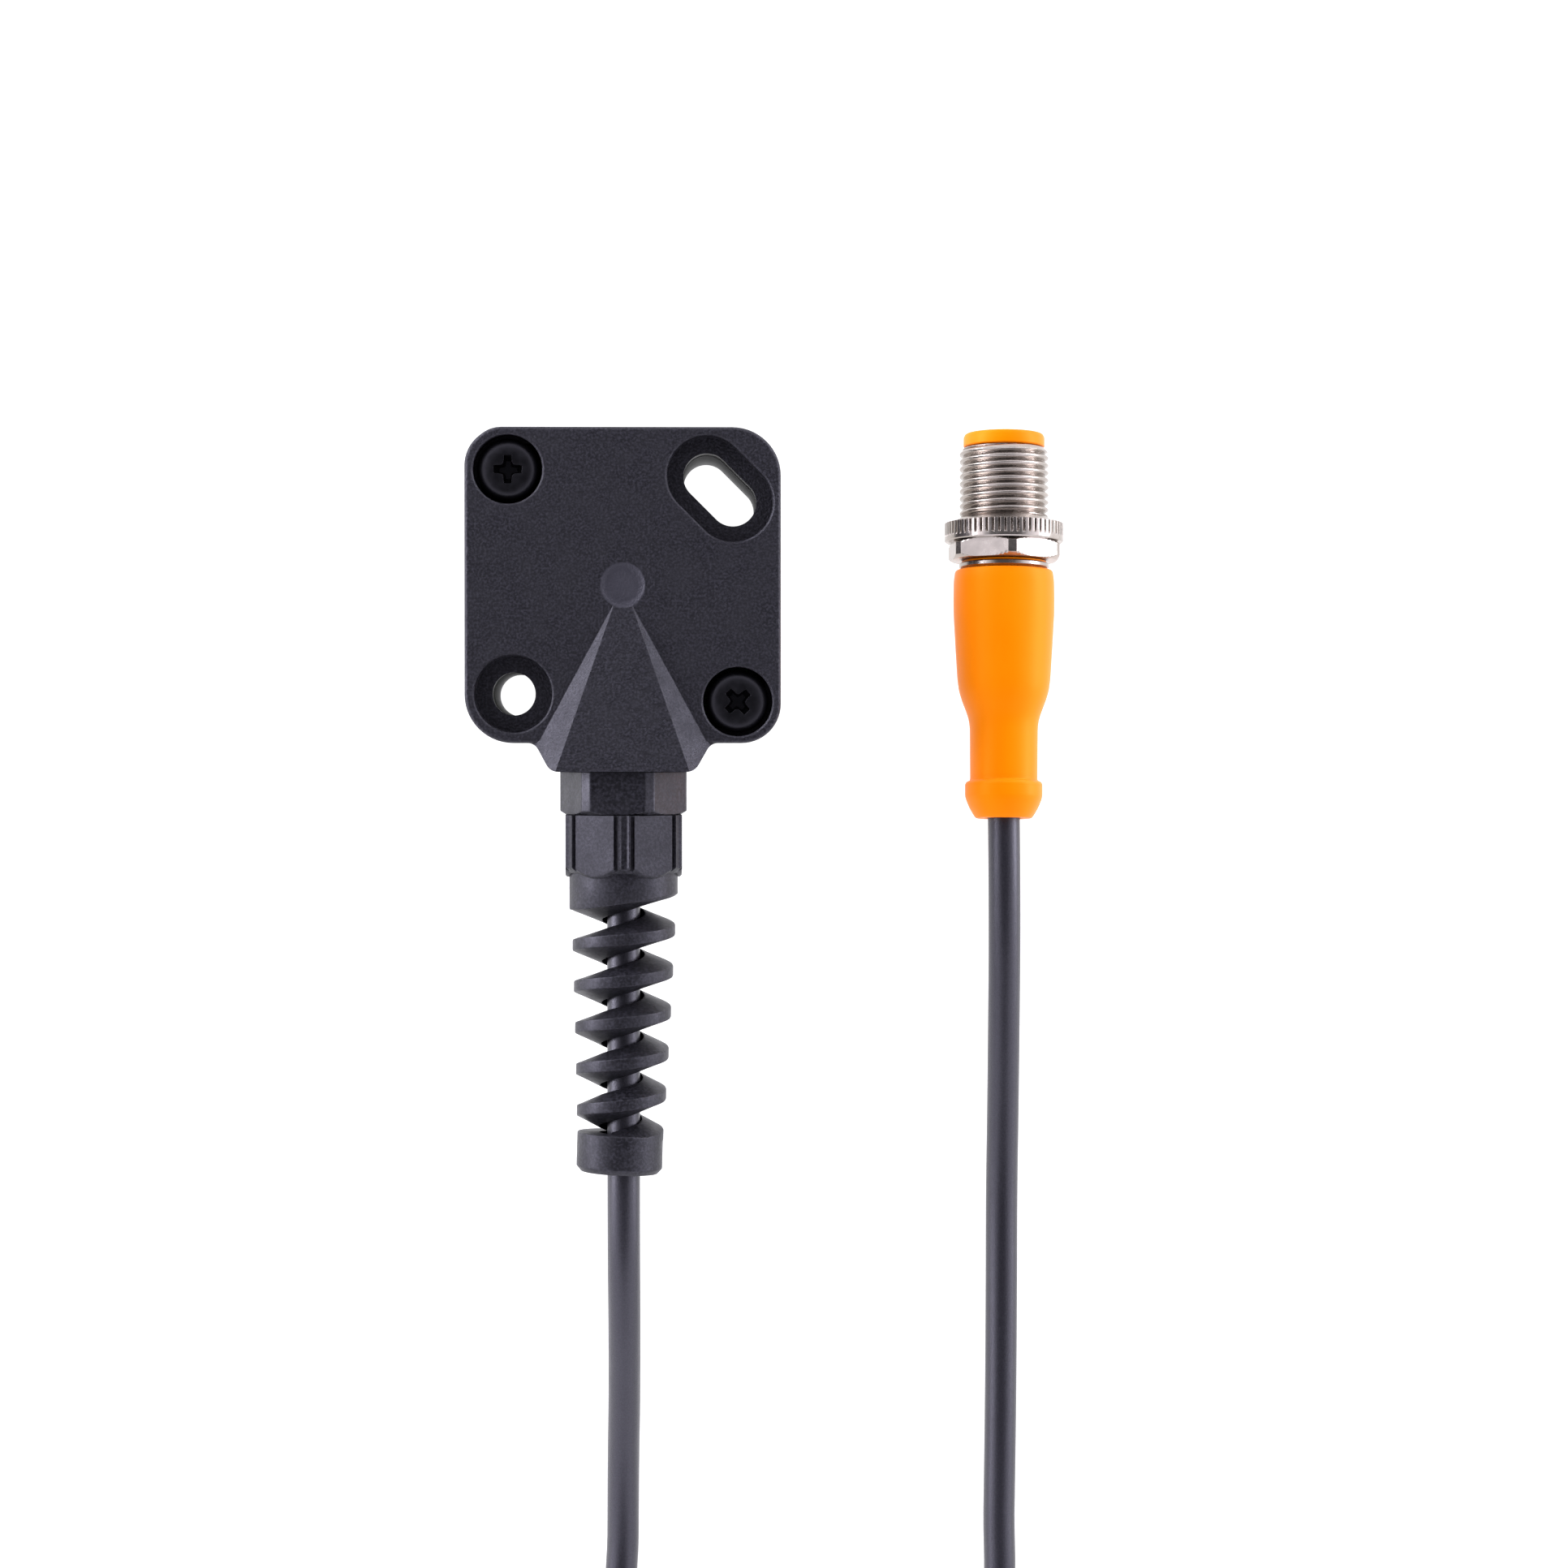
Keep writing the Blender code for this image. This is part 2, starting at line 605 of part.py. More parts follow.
def make_optics(looks):
    centre_y, centre_z = WINDOW_CENTRE
    width, height = WINDOW_SIZE
    window = (WINDOW_THICKNESS, width - 2 * GAP, height - 2 * GAP)
    window_x = -HALF + WINDOW_THICKNESS / 2 + GAP / 4
    add("front_window", box(window, (window_x, centre_y, centre_z)), looks["window"])

    depth = HOLDER_BACK - HOLDER_FRONT
    middle = (HOLDER_FRONT + depth / 2, centre_y, centre_z)
    holder = add("optics_holder", box((depth, *HOLDER_SIZE), middle), looks["dark"])
    outwards = (0, 0, pi / 2)  # turns +Y to -X
    past = depth + OVERSHOOT
    pocket = LENS_RIM + LENS_RISE + 2 * GAP
    for name, y in zip(("emitter_lens", "receiver_lens"), CHANNELS):
        channel = barrel(((-OVERSHOOT, CHANNEL_RADIUS), (past, CHANNEL_RADIUS)), sides=24)
        cut(holder, channel, place=(HOLDER_BACK, y, centre_z), turn=outwards)
        seat = barrel(((0, LENS_RADIUS + GAP), (past, LENS_RADIUS + GAP)), sides=24)
        cut(holder, seat, place=(HOLDER_FRONT + pocket, y, centre_z), turn=outwards)
        sections = [(0, LENS_RADIUS), (LENS_RIM, LENS_RADIUS)]
        for step in range(1, 4):
            angle = pi / 2 * step / 4
            sections.append((LENS_RIM + LENS_RISE * sin(angle), LENS_RADIUS * cos(angle)))
        place = (HOLDER_FRONT + pocket - GAP, y, centre_z)
        add(name, barrel(sections, sides=24), looks["lens"], place=place, turn=outwards)

    guide_y = sum(CHANNELS) / 2
    guide_hole = barrel(((-OVERSHOOT, GUIDE_RADIUS + GAP), (past, GUIDE_RADIUS + GAP)), sides=SMALL_SIDES)
    cut(holder, guide_hole, place=(HOLDER_BACK, guide_y, GUIDE_HEIGHT), turn=outwards)
    guide = barrel(((GAP, GUIDE_RADIUS), (depth - CHIP_DEPTH, GUIDE_RADIUS)), sides=SMALL_SIDES)
    guide_place = (HOLDER_BACK - CHIP_DEPTH, guide_y, GUIDE_HEIGHT)
    add("light_guide", guide, looks["lens"], place=guide_place, turn=outwards)

    board_front = HOLDER_BACK + GAP
    board_x = board_front + BOARD_THICKNESS / 2
    add("optics_board", box((BOARD_THICKNESS, *HOLDER_SIZE), (board_x, centre_y, centre_z)), looks["board"])
    chips = (
        ("emitter_led", CHANNELS[0], centre_z, 2.2 * MM, "led"),
        ("receiver_photodiode", CHANNELS[1], centre_z, 3.2 * MM, "chip"),
        ("indicator_led", guide_y, GUIDE_HEIGHT, 1 * MM, "led"),
    )
    for name, y, z, side, look in chips:
        front = board_front - GAP - CHIP_DEPTH / 2
        add(name, box((CHIP_DEPTH, side, side), (front, y, z)), looks[look])


def make_electronics(looks):
    edge = BOARD_EDGE
    hole, slot, screw = BOARD_NOTCH_HOLE, BOARD_NOTCH_SLOT, BOARD_NOTCH_SCREW
    outline = (
        (edge, slot), (slot, slot), (slot, edge), (-screw, edge), (-screw, screw), (-edge, screw),
        (-edge, -hole), (-hole, -hole), (-hole, -edge), (screw, -edge), (screw, -screw), (edge, -screw),
    )  # fmt: skip
    levels = ((MAIN_BOARD_BOTTOM, outline), (MAIN_BOARD_TOP, outline))
    add("main_board", slab(levels), looks["board"])
    rest = MAIN_BOARD_TOP + GAP / 2
    parts = (
        ("terminal_block", TERMINAL_SIZE, TERMINAL_PLACE),
        ("processor_chip", PROCESSOR_SIZE, PROCESSOR_PLACE),
        ("regulator_chip", REGULATOR_SIZE, REGULATOR_PLACE),
    )
    for name, size, (x, y) in parts:
        add(name, box(size, (x, y, rest + size.z / 2)), looks["chip"])
    can = stadium(CAPACITOR_PLACE, 2 * CAPACITOR_RADIUS, sides=20)
    add("filter_capacitor", slab(((rest, can), (rest + CAPACITOR_HEIGHT, can))), looks["steel"])


def make_cores(looks):
    """Four cores fan out from the end of the jacket and bend down into the terminal block."""
    start_y = INNER_CABLE[0] + GAP
    x_end, y_end = TERMINAL_PLACE
    z_end = MAIN_BOARD_TOP + TERMINAL_SIZE.z + 2 * GAP
    for index, colour in enumerate(("brown", "white", "blue", "black")):
        angle = tau * (index + 2.5) / 4
        start = Vector((sin(angle), 0, cos(angle))) * 1.1 * MM + Vector((0, start_y, GLAND_HEIGHT))
        x = x_end + (index - 1.5) * CORE_PITCH
        lift = start.z - z_end
        points = (
            start,
            start + Vector((0, CORE_RADIUS * 2, 0)),
            ((start.x + x) / 2, (start.y + y_end) / 2, start.z - lift * 0.12),
            (x, y_end, start.z - lift * 0.5),
            (x, y_end, z_end),
        )
        wire("core_" + colour, smooth_route(points, 1.5 * MM), CORE_RADIUS, looks[colour])


# Gland and cable ---------------------------------------------------------------------------------


def make_gland(looks):
    axis = {"place": (0, 0, GLAND_HEIGHT), "turn": (0, GLAND_TILT * -1, 0)}
    hexagonal = hexagon(HEX_FLAT, HEX_CORNER, tau / 12)
    body = (
        (THREAD_TIP, THREAD_RADIUS - NUT_CHAMFER),
        (THREAD_TIP - NUT_CHAMFER, THREAD_RADIUS),
        (GLAND_HEX[0], THREAD_RADIUS),
        (GLAND_HEX[0], hexagonal),
        (GLAND_HEX[1] + NUT_CHAMFER, hexagonal),
        (GLAND_HEX[1], HEX_FLAT),
        (GLAND_HEX[1], NUT_THREAD_RADIUS),
        (GLAND_END, NUT_THREAD_RADIUS),
    )
    bore = (
        (THREAD_TIP, GLAND_BORE),
        (INSERT_START, GLAND_BORE),
        (INSERT_START, INSERT_BORE),
        (GLAND_END, INSERT_BORE),
    )
    add("gland_body", barrel(body, bore, sides=48), looks["plastic"], **axis)

    ring_centre = NECK_END + RING_SEAT_DEPTH / 2
    section = [tau * step / 8 for step in range(8)]
    ring = [(ring_centre + RING_SECTION * sin(a), RING_RADIUS + RING_SECTION * cos(a)) for a in section]
    rings = [around(station, radius) for station, radius in ring]
    add("gland_o_ring", skin(rings, closed=True), looks["rubber"], place=(0, 0, GLAND_HEIGHT))

    ends = (INSERT_START - GAP, GLAND_END + GAP)
    outer = [(end, INSERT_BORE - GAP) for end in ends]
    inner = [(end, CABLE_RADIUS + GAP) for end in ends]
    add("gland_seal_insert", barrel(outer, inner), looks["rubber"], place=(0, 0, GLAND_HEIGHT))


def strand():
    """The spiral: a right-handed band, thicker at its root than at its rim."""
    rings = []
    steps = round(STRAND_TURNS * STRAND_STEPS)
    for step in range(steps + 1):
        angle = pi / 2 - tau * step / STRAND_STEPS
        station = STRAND_START - PITCH * step / STRAND_STEPS
        outer = STRAND_RADII[0] + (STRAND_RADII[1] - STRAND_RADII[0]) * step / steps
        ring = []
        for radius, reach in (
            (STRAND_BORE, STRAND_INNER / 2),
            (outer, STRAND_OUTER / 2),
            (outer, -STRAND_OUTER / 2),
            (STRAND_BORE, -STRAND_INNER / 2),
        ):
            x = radius * sin(angle)
            ring.append((x, station + reach - STRAND_LEAN * x, radius * cos(angle)))
        rings.append(ring)
    return skin(rings)


def make_spiral_nut(looks):
    hexagonal = hexagon(HEX_FLAT, HEX_CORNER)
    nut = (
        (NUT[0], HEX_FLAT),
        (NUT[0] - NUT_CHAMFER, hexagonal),
        (NUT[1] + NUT_CHAMFER, hexagonal),
        (NUT[1], COLLAR_RADIUS),
        (COLLAR_END, COLLAR_RADIUS),
    )
    bore = (
        (NUT[0], NUT_BORE),
        (NUT_BORE_END, NUT_BORE),
        (NUT_BORE_END - NUT_CHAMFER, SPIRAL_BORE),
        (COLLAR_END, SPIRAL_BORE),
    )
    place = (0, 0, GLAND_HEIGHT)
    obj = add("spiral_nut", barrel(nut, bore, sides=48), looks["plastic"], place=place)
    fuse(obj, strand(), place=place)
    collar = (
        (END_COLLAR[0], END_COLLAR_RADIUS),
        (END_COLLAR[1] + END_CHAMFER, END_COLLAR_RADIUS),
        (END_COLLAR[1], END_COLLAR_RADIUS - END_CHAMFER),
    )
    fuse(obj, barrel(collar, [(end, SPIRAL_BORE) for end in END_COLLAR]), place=place)


def make_cable(looks):
    inner = [(end, CABLE_RADIUS) for end in INNER_CABLE]
    add("cable_inner", barrel(inner, sides=20), looks["cable"], place=(0, 0, GLAND_HEIGHT))
    wire("cable", smooth_route(CABLE_ROUTE, CABLE_STEP), CABLE_RADIUS, looks["cable"])


# Plug --------------------------------------------------------------------------------------------


def plug_axis():
    """An empty at the plug's tip whose +Y is the plug's axis. The knurl just touches the table."""
    axis = bpy.data.objects.new("plug_axis", None)
    scene.collection.objects.link(axis)
    height = KNURL_RADIUS * cos(PLUG_DIP) + KNURL_FRONT * sin(PLUG_DIP)
    axis.location = (PLUG_X, PLUG_Y, height)
    axis.rotation_euler = (-PLUG_DIP, 0, -PLUG_YAW)
    return axis


def make_plug(looks):
    axis = plug_axis()
    carrier = (
        (CARRIER_END, CARRIER_RADIUS),
        (CARRIER_FLANGE[1], CARRIER_RADIUS),
        (CARRIER_FLANGE[1], CARRIER_FLANGE_RADIUS),
        (CARRIER_FLANGE[0], CARRIER_FLANGE_RADIUS),
        (CARRIER_FLANGE[0], CARRIER_RADIUS),
        (TIP_RING_END, CARRIER_RADIUS),
        (TIP_RING_END, TIP_RING_RADIUS),
        (-EDGE, TIP_RING_RADIUS),
        (0, TIP_RING_RADIUS - EDGE),
        (0, SOCKET_RADIUS),
        (-SOCKET_DEPTH, SOCKET_RADIUS),
    )
    holder = add("contact_carrier", barrel(carrier), looks["orange"], parent=axis)
    for number in range(4):
        angle = tau * number / 4
        place = (PIN_CIRCLE * sin(angle), 0, PIN_CIRCLE * cos(angle))
        hole = [(PIN_END - GAP, PIN_HOLE_RADIUS), (0, PIN_HOLE_RADIUS)]
        cut(holder, barrel(hole, sides=SMALL_SIDES), parent=axis, place=place)
        pin = (
            (PIN_END, PIN_RADIUS),
            (PIN_TIP - PIN_RADIUS, PIN_RADIUS),
            (PIN_TIP, PIN_RADIUS / 2),
        )
        name = f"contact_pin_{number + 1}"
        add(name, barrel(pin, sides=SMALL_SIDES), looks["gold"], parent=axis, place=place)

    hexagonal = hexagon(PLUG_HEX_FLAT, PLUG_HEX_CORNER, PLUG_HEX_TURN)
    nut = (
        (NUT_FRONT, PLUG_THREAD_RADIUS - EDGE),
        (NUT_FRONT - EDGE, PLUG_THREAD_RADIUS),
        (KNURL_FRONT, PLUG_THREAD_RADIUS),
        (KNURL_FRONT, KNURL_RADIUS),
        (KNURL_END, KNURL_RADIUS),
        (KNURL_END, hexagonal),
        (NUT_END, hexagonal),
    )
    bore = [(end, COUPLING_BORE) for end in (NUT_FRONT, NUT_END)]
    add("coupling_nut", barrel(nut, bore, sides=48), looks["nickel"], parent=axis)
    outer = [(end, RETAINER_RADIUS) for end in RETAINER]
    inner = [(end, COUPLING_BORE) for end in RETAINER]
    add("retaining_ring", barrel(outer, inner), looks["nickel"], parent=axis)

    front_bore = CARRIER_RADIUS + GAP
    tail_bore = CABLE_RADIUS + GAP
    body = (
        (CARRIER_END - GAP, front_bore),
        (BODY_FRONT, front_bore),
        *BODY_PROFILE,
        (BODY_END, tail_bore),
        (BODY_END + TAIL_SOCKET_DEPTH, tail_bore),
    )
    add("plug_body", barrel(body), looks["orange"], parent=axis)


def make_looks():
    return {
        "plastic": material("black_plastic", (0.03, 0.029, 0.033), 0.6),
        "dark": material("dark_plastic", (0.02, 0.02, 0.02), 0.7),
        "steel": material("stainless_steel", (0.6, 0.6, 0.6), 0.35, 1),
        "black_steel": material("blackened_steel", (0.03, 0.03, 0.03), 0.4),
        "brass": material("brass", (0.75, 0.57, 0.27), 0.3, 1),
        "gold": material("gold_plate", (0.9, 0.68, 0.3), 0.2, 1),
        "nickel": material("nickel_plate", (0.72, 0.69, 0.64), 0.25, 1),
        "rubber": material("seal_rubber", (0.02, 0.02, 0.02), 0.8),
        "window": material("tinted_window", (0.12, 0.01, 0.01), 0.1, alpha=0.6),
        "lens": material("clear_lens", (0.9, 0.9, 0.9), 0.05, alpha=0.4),
        "board": material("circuit_board", (0.02, 0.16, 0.06), 0.5),
        "chip": material("chip_plastic", (0.03, 0.03, 0.03), 0.5),
        "led": material("led_resin", (0.85, 0.75, 0.35), 0.3),
        "cable": material("cable_jacket", (0.06, 0.058, 0.066), 0.65),
        "orange": material("orange_plastic", (1.0, 0.26, 0.0), 0.45),
        "brown": material("brown_core", (0.2, 0.07, 0.02), 0.5),
        "white": material("white_core", (0.8, 0.8, 0.78), 0.5),
        "blue": material("blue_core", (0.03, 0.12, 0.5), 0.5),
        "black": material("black_core", (0.02, 0.02, 0.02), 0.5),
    }


def main():
    clear_scene()
    looks = make_looks()
    make_housing(looks["plastic"])
    make_base_cover(looks["plastic"])
    make_gasket(looks["rubber"])
    make_sleeves(looks["steel"], looks["rubber"])
    make_screws(looks["black_steel"], looks["brass"])
    make_optics(looks)
    make_electronics(looks)
    make_cores(looks)
    make_gland(looks)
    make_spiral_nut(looks)
    make_cable(looks)
    make_plug(looks)


main()
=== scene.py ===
"""Looks of the block photoelectric sensor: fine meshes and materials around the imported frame."""

from math import atan2, cos, hypot, pi, radians, sin, tau

import bmesh
import bpy
from mathutils import Euler, Matrix, Vector


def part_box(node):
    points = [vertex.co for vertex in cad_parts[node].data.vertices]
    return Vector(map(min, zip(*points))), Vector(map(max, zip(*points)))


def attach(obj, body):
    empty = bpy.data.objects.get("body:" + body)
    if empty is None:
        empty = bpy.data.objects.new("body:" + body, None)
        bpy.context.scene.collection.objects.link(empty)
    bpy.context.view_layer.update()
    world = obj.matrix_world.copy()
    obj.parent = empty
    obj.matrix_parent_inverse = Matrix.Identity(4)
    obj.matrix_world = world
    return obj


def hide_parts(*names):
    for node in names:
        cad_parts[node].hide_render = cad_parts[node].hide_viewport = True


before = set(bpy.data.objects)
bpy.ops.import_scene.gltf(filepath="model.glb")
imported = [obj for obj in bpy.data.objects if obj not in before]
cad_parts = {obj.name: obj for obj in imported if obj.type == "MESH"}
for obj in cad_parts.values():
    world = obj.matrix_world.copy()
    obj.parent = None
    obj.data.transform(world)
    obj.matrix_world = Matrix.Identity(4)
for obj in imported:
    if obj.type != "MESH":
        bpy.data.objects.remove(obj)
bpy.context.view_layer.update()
scene = bpy.context.scene

MM = 0.001
BODY = "sensor"
NUT_BODY = "coupling_nut"
OVERSHOOT = 1 * MM
ARC_STEPS = 14
SIDES = 96
FINE_SIDES = 360
SMALLEST_RADIUS = 0.1 * MM
SHARP_ANGLE = radians(32)

# What the frame says
HOUSING_LOW, HOUSING_HIGH = (Vector(corner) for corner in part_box("housing"))
BASE_HIGH = Vector(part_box("base_cover")[1])
HALF = BASE_HIGH.x
NECK_END = HOUSING_LOW.y
HOUSING_BOTTOM = HOUSING_LOW.z
SPIRAL_LOW = Vector(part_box("spiral_nut")[0])
CABLE_LOW, CABLE_HIGH = (Vector(corner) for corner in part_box("cable_inner"))
CABLE_RADIUS = (CABLE_HIGH.z - CABLE_LOW.z) / 2
GLAND_HEIGHT = (CABLE_HIGH.z + CABLE_LOW.z) / 2
GLAND_AXIS = Matrix.Translation((0, 0, GLAND_HEIGHT))

# The plate's upper face
HEIGHT = 25 * MM

# The free cable's route in metres, the same as in the CAD
CABLE_ROUTE = (
    (0.0, -0.0755, 0.0195),
    (0.0, -0.0795, 0.0195),
    (0.0, -0.0880, 0.0184),
    (0.0, -0.0980, 0.0146),
    (-0.0001, -0.1080, 0.0096),
    (-0.0003, -0.1180, 0.0053),
    (-0.0004, -0.1280, 0.0029),
    (-0.0005, -0.1380, 0.0023),
    (0.0030, -0.1508, 0.0023),
    (0.0123, -0.1601, 0.0023),
    (0.0250, -0.1636, 0.0023),
    (0.0378, -0.1601, 0.0023),
    (0.0471, -0.1508, 0.0023),
    (0.0505, -0.1380, 0.0023),
    (0.0507, -0.1250, 0.0023),
    (0.0509, -0.1100, 0.0023),
    (0.0510, -0.0950, 0.0023),
    (0.0510, -0.0820, 0.0028),
    (0.0510, -0.0700, 0.0047),
    (0.0509, -0.0580, 0.0075),
    (0.0508, -0.0480, 0.0097),
    (0.0507, -0.0400, 0.0108),
    (0.05065, -0.0346, 0.01090),
    (0.05061, -0.02883, 0.01056),
)

# The plug's axis: its tip, how far it dips, and its small turn about Z
KNURL_RADIUS = 7.94 * MM
KNURL_FRONT = -12 * MM
PLUG_DIP = radians(4)
PLUG_YAW = radians(0.33)
PLUG_TIP = Vector(
    (50.9 * MM, 20.95 * MM, KNURL_RADIUS * cos(PLUG_DIP) + KNURL_FRONT * sin(PLUG_DIP))
)
PLUG_AXIS = Matrix.Translation(PLUG_TIP) @ Euler((-PLUG_DIP, 0, -PLUG_YAW)).to_matrix().to_4x4()


# Building blocks ---------------------------------------------------------------------------------


def rounded_outline(corners, inset=0.0, steps=ARC_STEPS):
    """Points of a polygon with rounded corners, moved inwards by inset."""
    points = []
    for index, (x, y, radius) in enumerate(corners):
        corner = Vector((x, y, 0))
        before = (Vector((*corners[index - 1][:2], 0)) - corner).normalized()
        after = (Vector((*corners[(index + 1) % len(corners)][:2], 0)) - corner).normalized()
        middle = (before + after).normalized()
        inner_radius = max(radius - inset, SMALLEST_RADIUS)
        centre = corner + middle * (inset + inner_radius) / sin(before.angle(after) / 2)
        start = (before * middle.dot(before) - middle).normalized()
        end = (after * middle.dot(after) - middle).normalized()
        for step in range(steps + 1):
            point = centre + start.slerp(end, step / steps) * inner_radius
            points.append((point.x, point.y))
    return points


def stadium(centre, width, reach=0.0, angle=0.0, sides=SIDES):
    """Points of a circle drawn out by reach along angle: a slot's outline."""
    points = []
    for step in range(sides):
        turn = tau * step / sides + pi / sides
        shift = reach / 2 if cos(turn) > 0 else -reach / 2
        x = width / 2 * cos(turn) + shift
        y = width / 2 * sin(turn)
        points.append(
            (
                centre[0] + x * cos(angle) - y * sin(angle),
                centre[1] + x * sin(angle) + y * cos(angle),
            )
        )
    return points


def skin(rings, closed=False):
    """A closed surface over rings of points: the ends are capped, or joined when closed."""
    bm = bmesh.new()
    loops = [[bm.verts.new(point) for point in ring] for ring in rings]
    pairs = list(zip(loops, loops[1:]))
    if closed:
        pairs.append((loops[-1], loops[0]))
    for lower, upper in pairs:
        for index in range(len(lower)):
            after = (index + 1) % len(lower)
            bm.faces.new((lower[index], lower[after], upper[after], upper[index]))
    if not closed:
        bm.faces.new(loops[0])
        bm.faces.new(loops[-1])
    bmesh.ops.recalc_face_normals(bm, faces=bm.faces)
    return bm


def slab(levels, closed=False):
    """A solid over plan outlines: levels holds (z, outline) from one end to the other."""
    return skin([[(x, y, z) for x, y in outline] for z, outline in levels], closed)


def around(station, radius, sides=SIDES):
    """A ring of points about the Y axis. A radius may be a function of the angle and the station."""
    ring = []
    for step in range(sides):
        angle = tau * step / sides
        reach = radius(angle, station) if callable(radius) else radius
        ring.append((reach * sin(angle), station, reach * cos(angle)))
    return ring


def barrel(sections, bore=(), sides=SIDES):
    """A solid about the Y axis from (station, radius) sections, with a bore right through it."""
    rings = [around(station, radius, sides) for station, radius in (*sections, *reversed(bore))]
    return skin(rings, closed=bool(bore))


def hexagon(flat, corner, turn=0.0, cone=None):
    """A hexagon's radius at each angle, with a small flat on each corner.

    A cone is (station, radius, slope) of the chamfer that was turned on its end.
    """
    sector = tau / 6

    def radius(angle, station):
        from_middle = (angle - turn) % sector - sector / 2
        from_corner = sector / 2 - abs(from_middle)
        reach = min(flat / cos(from_middle), corner / cos(from_corner))
        if cone:
            start, least, slope = cone
            reach = min(reach, least + abs(station - start) * slope)
        return reach

    return radius


def rounded(sections, radius, steps=4):
    """Sections with each turn of the profile rounded by up to radius."""
    sections = [Vector(section) for section in sections]
    smooth = [sections[0]]
    for before, here, after in zip(sections, sections[1:], sections[2:]):
        reach = min(radius, (before - here).length * 0.45, (after - here).length * 0.45)
        start = here + (before - here).normalized() * reach
        end = here + (after - here).normalized() * reach
        for step in range(steps + 1):
            t = step / steps
            smooth.append(start * (1 - t) ** 2 + here * 2 * t * (1 - t) + end * t**2)
    return [tuple(point) for point in (*smooth, sections[-1])]


def box(size, centre, radius=0.0):
    """A box whose edges are rounded by radius."""
    bm = bmesh.new()
    bmesh.ops.create_cube(bm, size=1)
    bmesh.ops.scale(bm, vec=size, verts=bm.verts)
    if radius:
        bmesh.ops.bevel(bm, geom=bm.edges[:], offset=radius, segments=3, profile=0.5, affect="EDGES")
    bmesh.ops.translate(bm, vec=centre, verts=bm.verts)
    return bm


def add(name, bm, look, nodes, body=BODY, matrix=None):
    """A piece from a bmesh that matrix puts in place. It rides on a body and stands for nodes."""
    if matrix:
        bm.transform(matrix)
    mesh = bpy.data.meshes.new(name)
    bm.to_mesh(mesh)
    bm.free()
    mesh.shade_smooth()
    mesh.set_sharp_from_angle(angle=SHARP_ANGLE)
    mesh.materials.append(look)
    obj = bpy.data.objects.new(name, mesh)
    scene.collection.objects.link(obj)
    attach(obj, body)
    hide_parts(*nodes)
    return obj


def combine(obj, changes):
    """Applies (operation, bmesh, matrix) changes to a piece, one after the other."""
    for operation, bm, matrix in changes:
        if matrix:
            bm.transform(matrix)
        mesh = bpy.data.meshes.new("helper")
        bm.to_mesh(mesh)
        bm.free()
        helper = bpy.data.objects.new("helper", mesh)
        scene.collection.objects.link(helper)
        boolean = obj.modifiers.new("boolean", "BOOLEAN")
        boolean.operation = operation
        boolean.object = helper
        graph = bpy.context.evaluated_depsgraph_get()
        made = bpy.data.meshes.new_from_object(obj.evaluated_get(graph))
        obj.modifiers.clear()
        old = obj.data
        obj.data = made
        bpy.data.meshes.remove(old)
        bpy.data.objects.remove(helper)
    obj.data.shade_smooth()
    obj.data.set_sharp_from_angle(angle=SHARP_ANGLE)
    even = obj.modifiers.new("even_flats", "WEIGHTED_NORMAL")
    even.keep_sharp = True
    even.weight = 100


def smooth_route(points, step):
    """Points every step or so along a smooth curve through points."""
    points = [Vector(point) for point in points]
    points = [2 * points[0] - points[1], *points, 2 * points[-1] - points[-2]]
    route = []
    for before, start, end, after in zip(points, points[1:], points[2:], points[3:]):
        length = (end - start).length
        leave = (end - before) * length / ((end - start).length + (start - before).length)
        arrive = (after - start) * length / ((after - end).length + (end - start).length)
        count = max(1, round(length / step))
        for index in range(count):
            t = index / count
            route.append(
                start * (2 * t**3 - 3 * t**2 + 1)
                + end * (3 * t**2 - 2 * t**3)
                + leave * (t**3 - 2 * t**2 + t)
                + arrive * (t**3 - t**2)
            )
    return [*route, points[-2]]


# Materials ---------------------------------------------------------------------------------------


VIOLET = (0.88, 0.86, 1)  # the faint colour of the reflections on the black plastics
# Shares of a colour: painted shade in the grain's pits and painted highlight on its tops, painted sheen in
# a disc, in flow marks and in tarnish
GRAIN_PIT_SHADE = 0.3
GRAIN_TOP_HIGHLIGHT = 2.6
DISC_SHEEN_SHARE = 2.8
FLOW_SHARE = 0.93
TARNISH_SHARE = 0.85
CLOUD = 9  # how many grains wide a patch of uneven gloss is


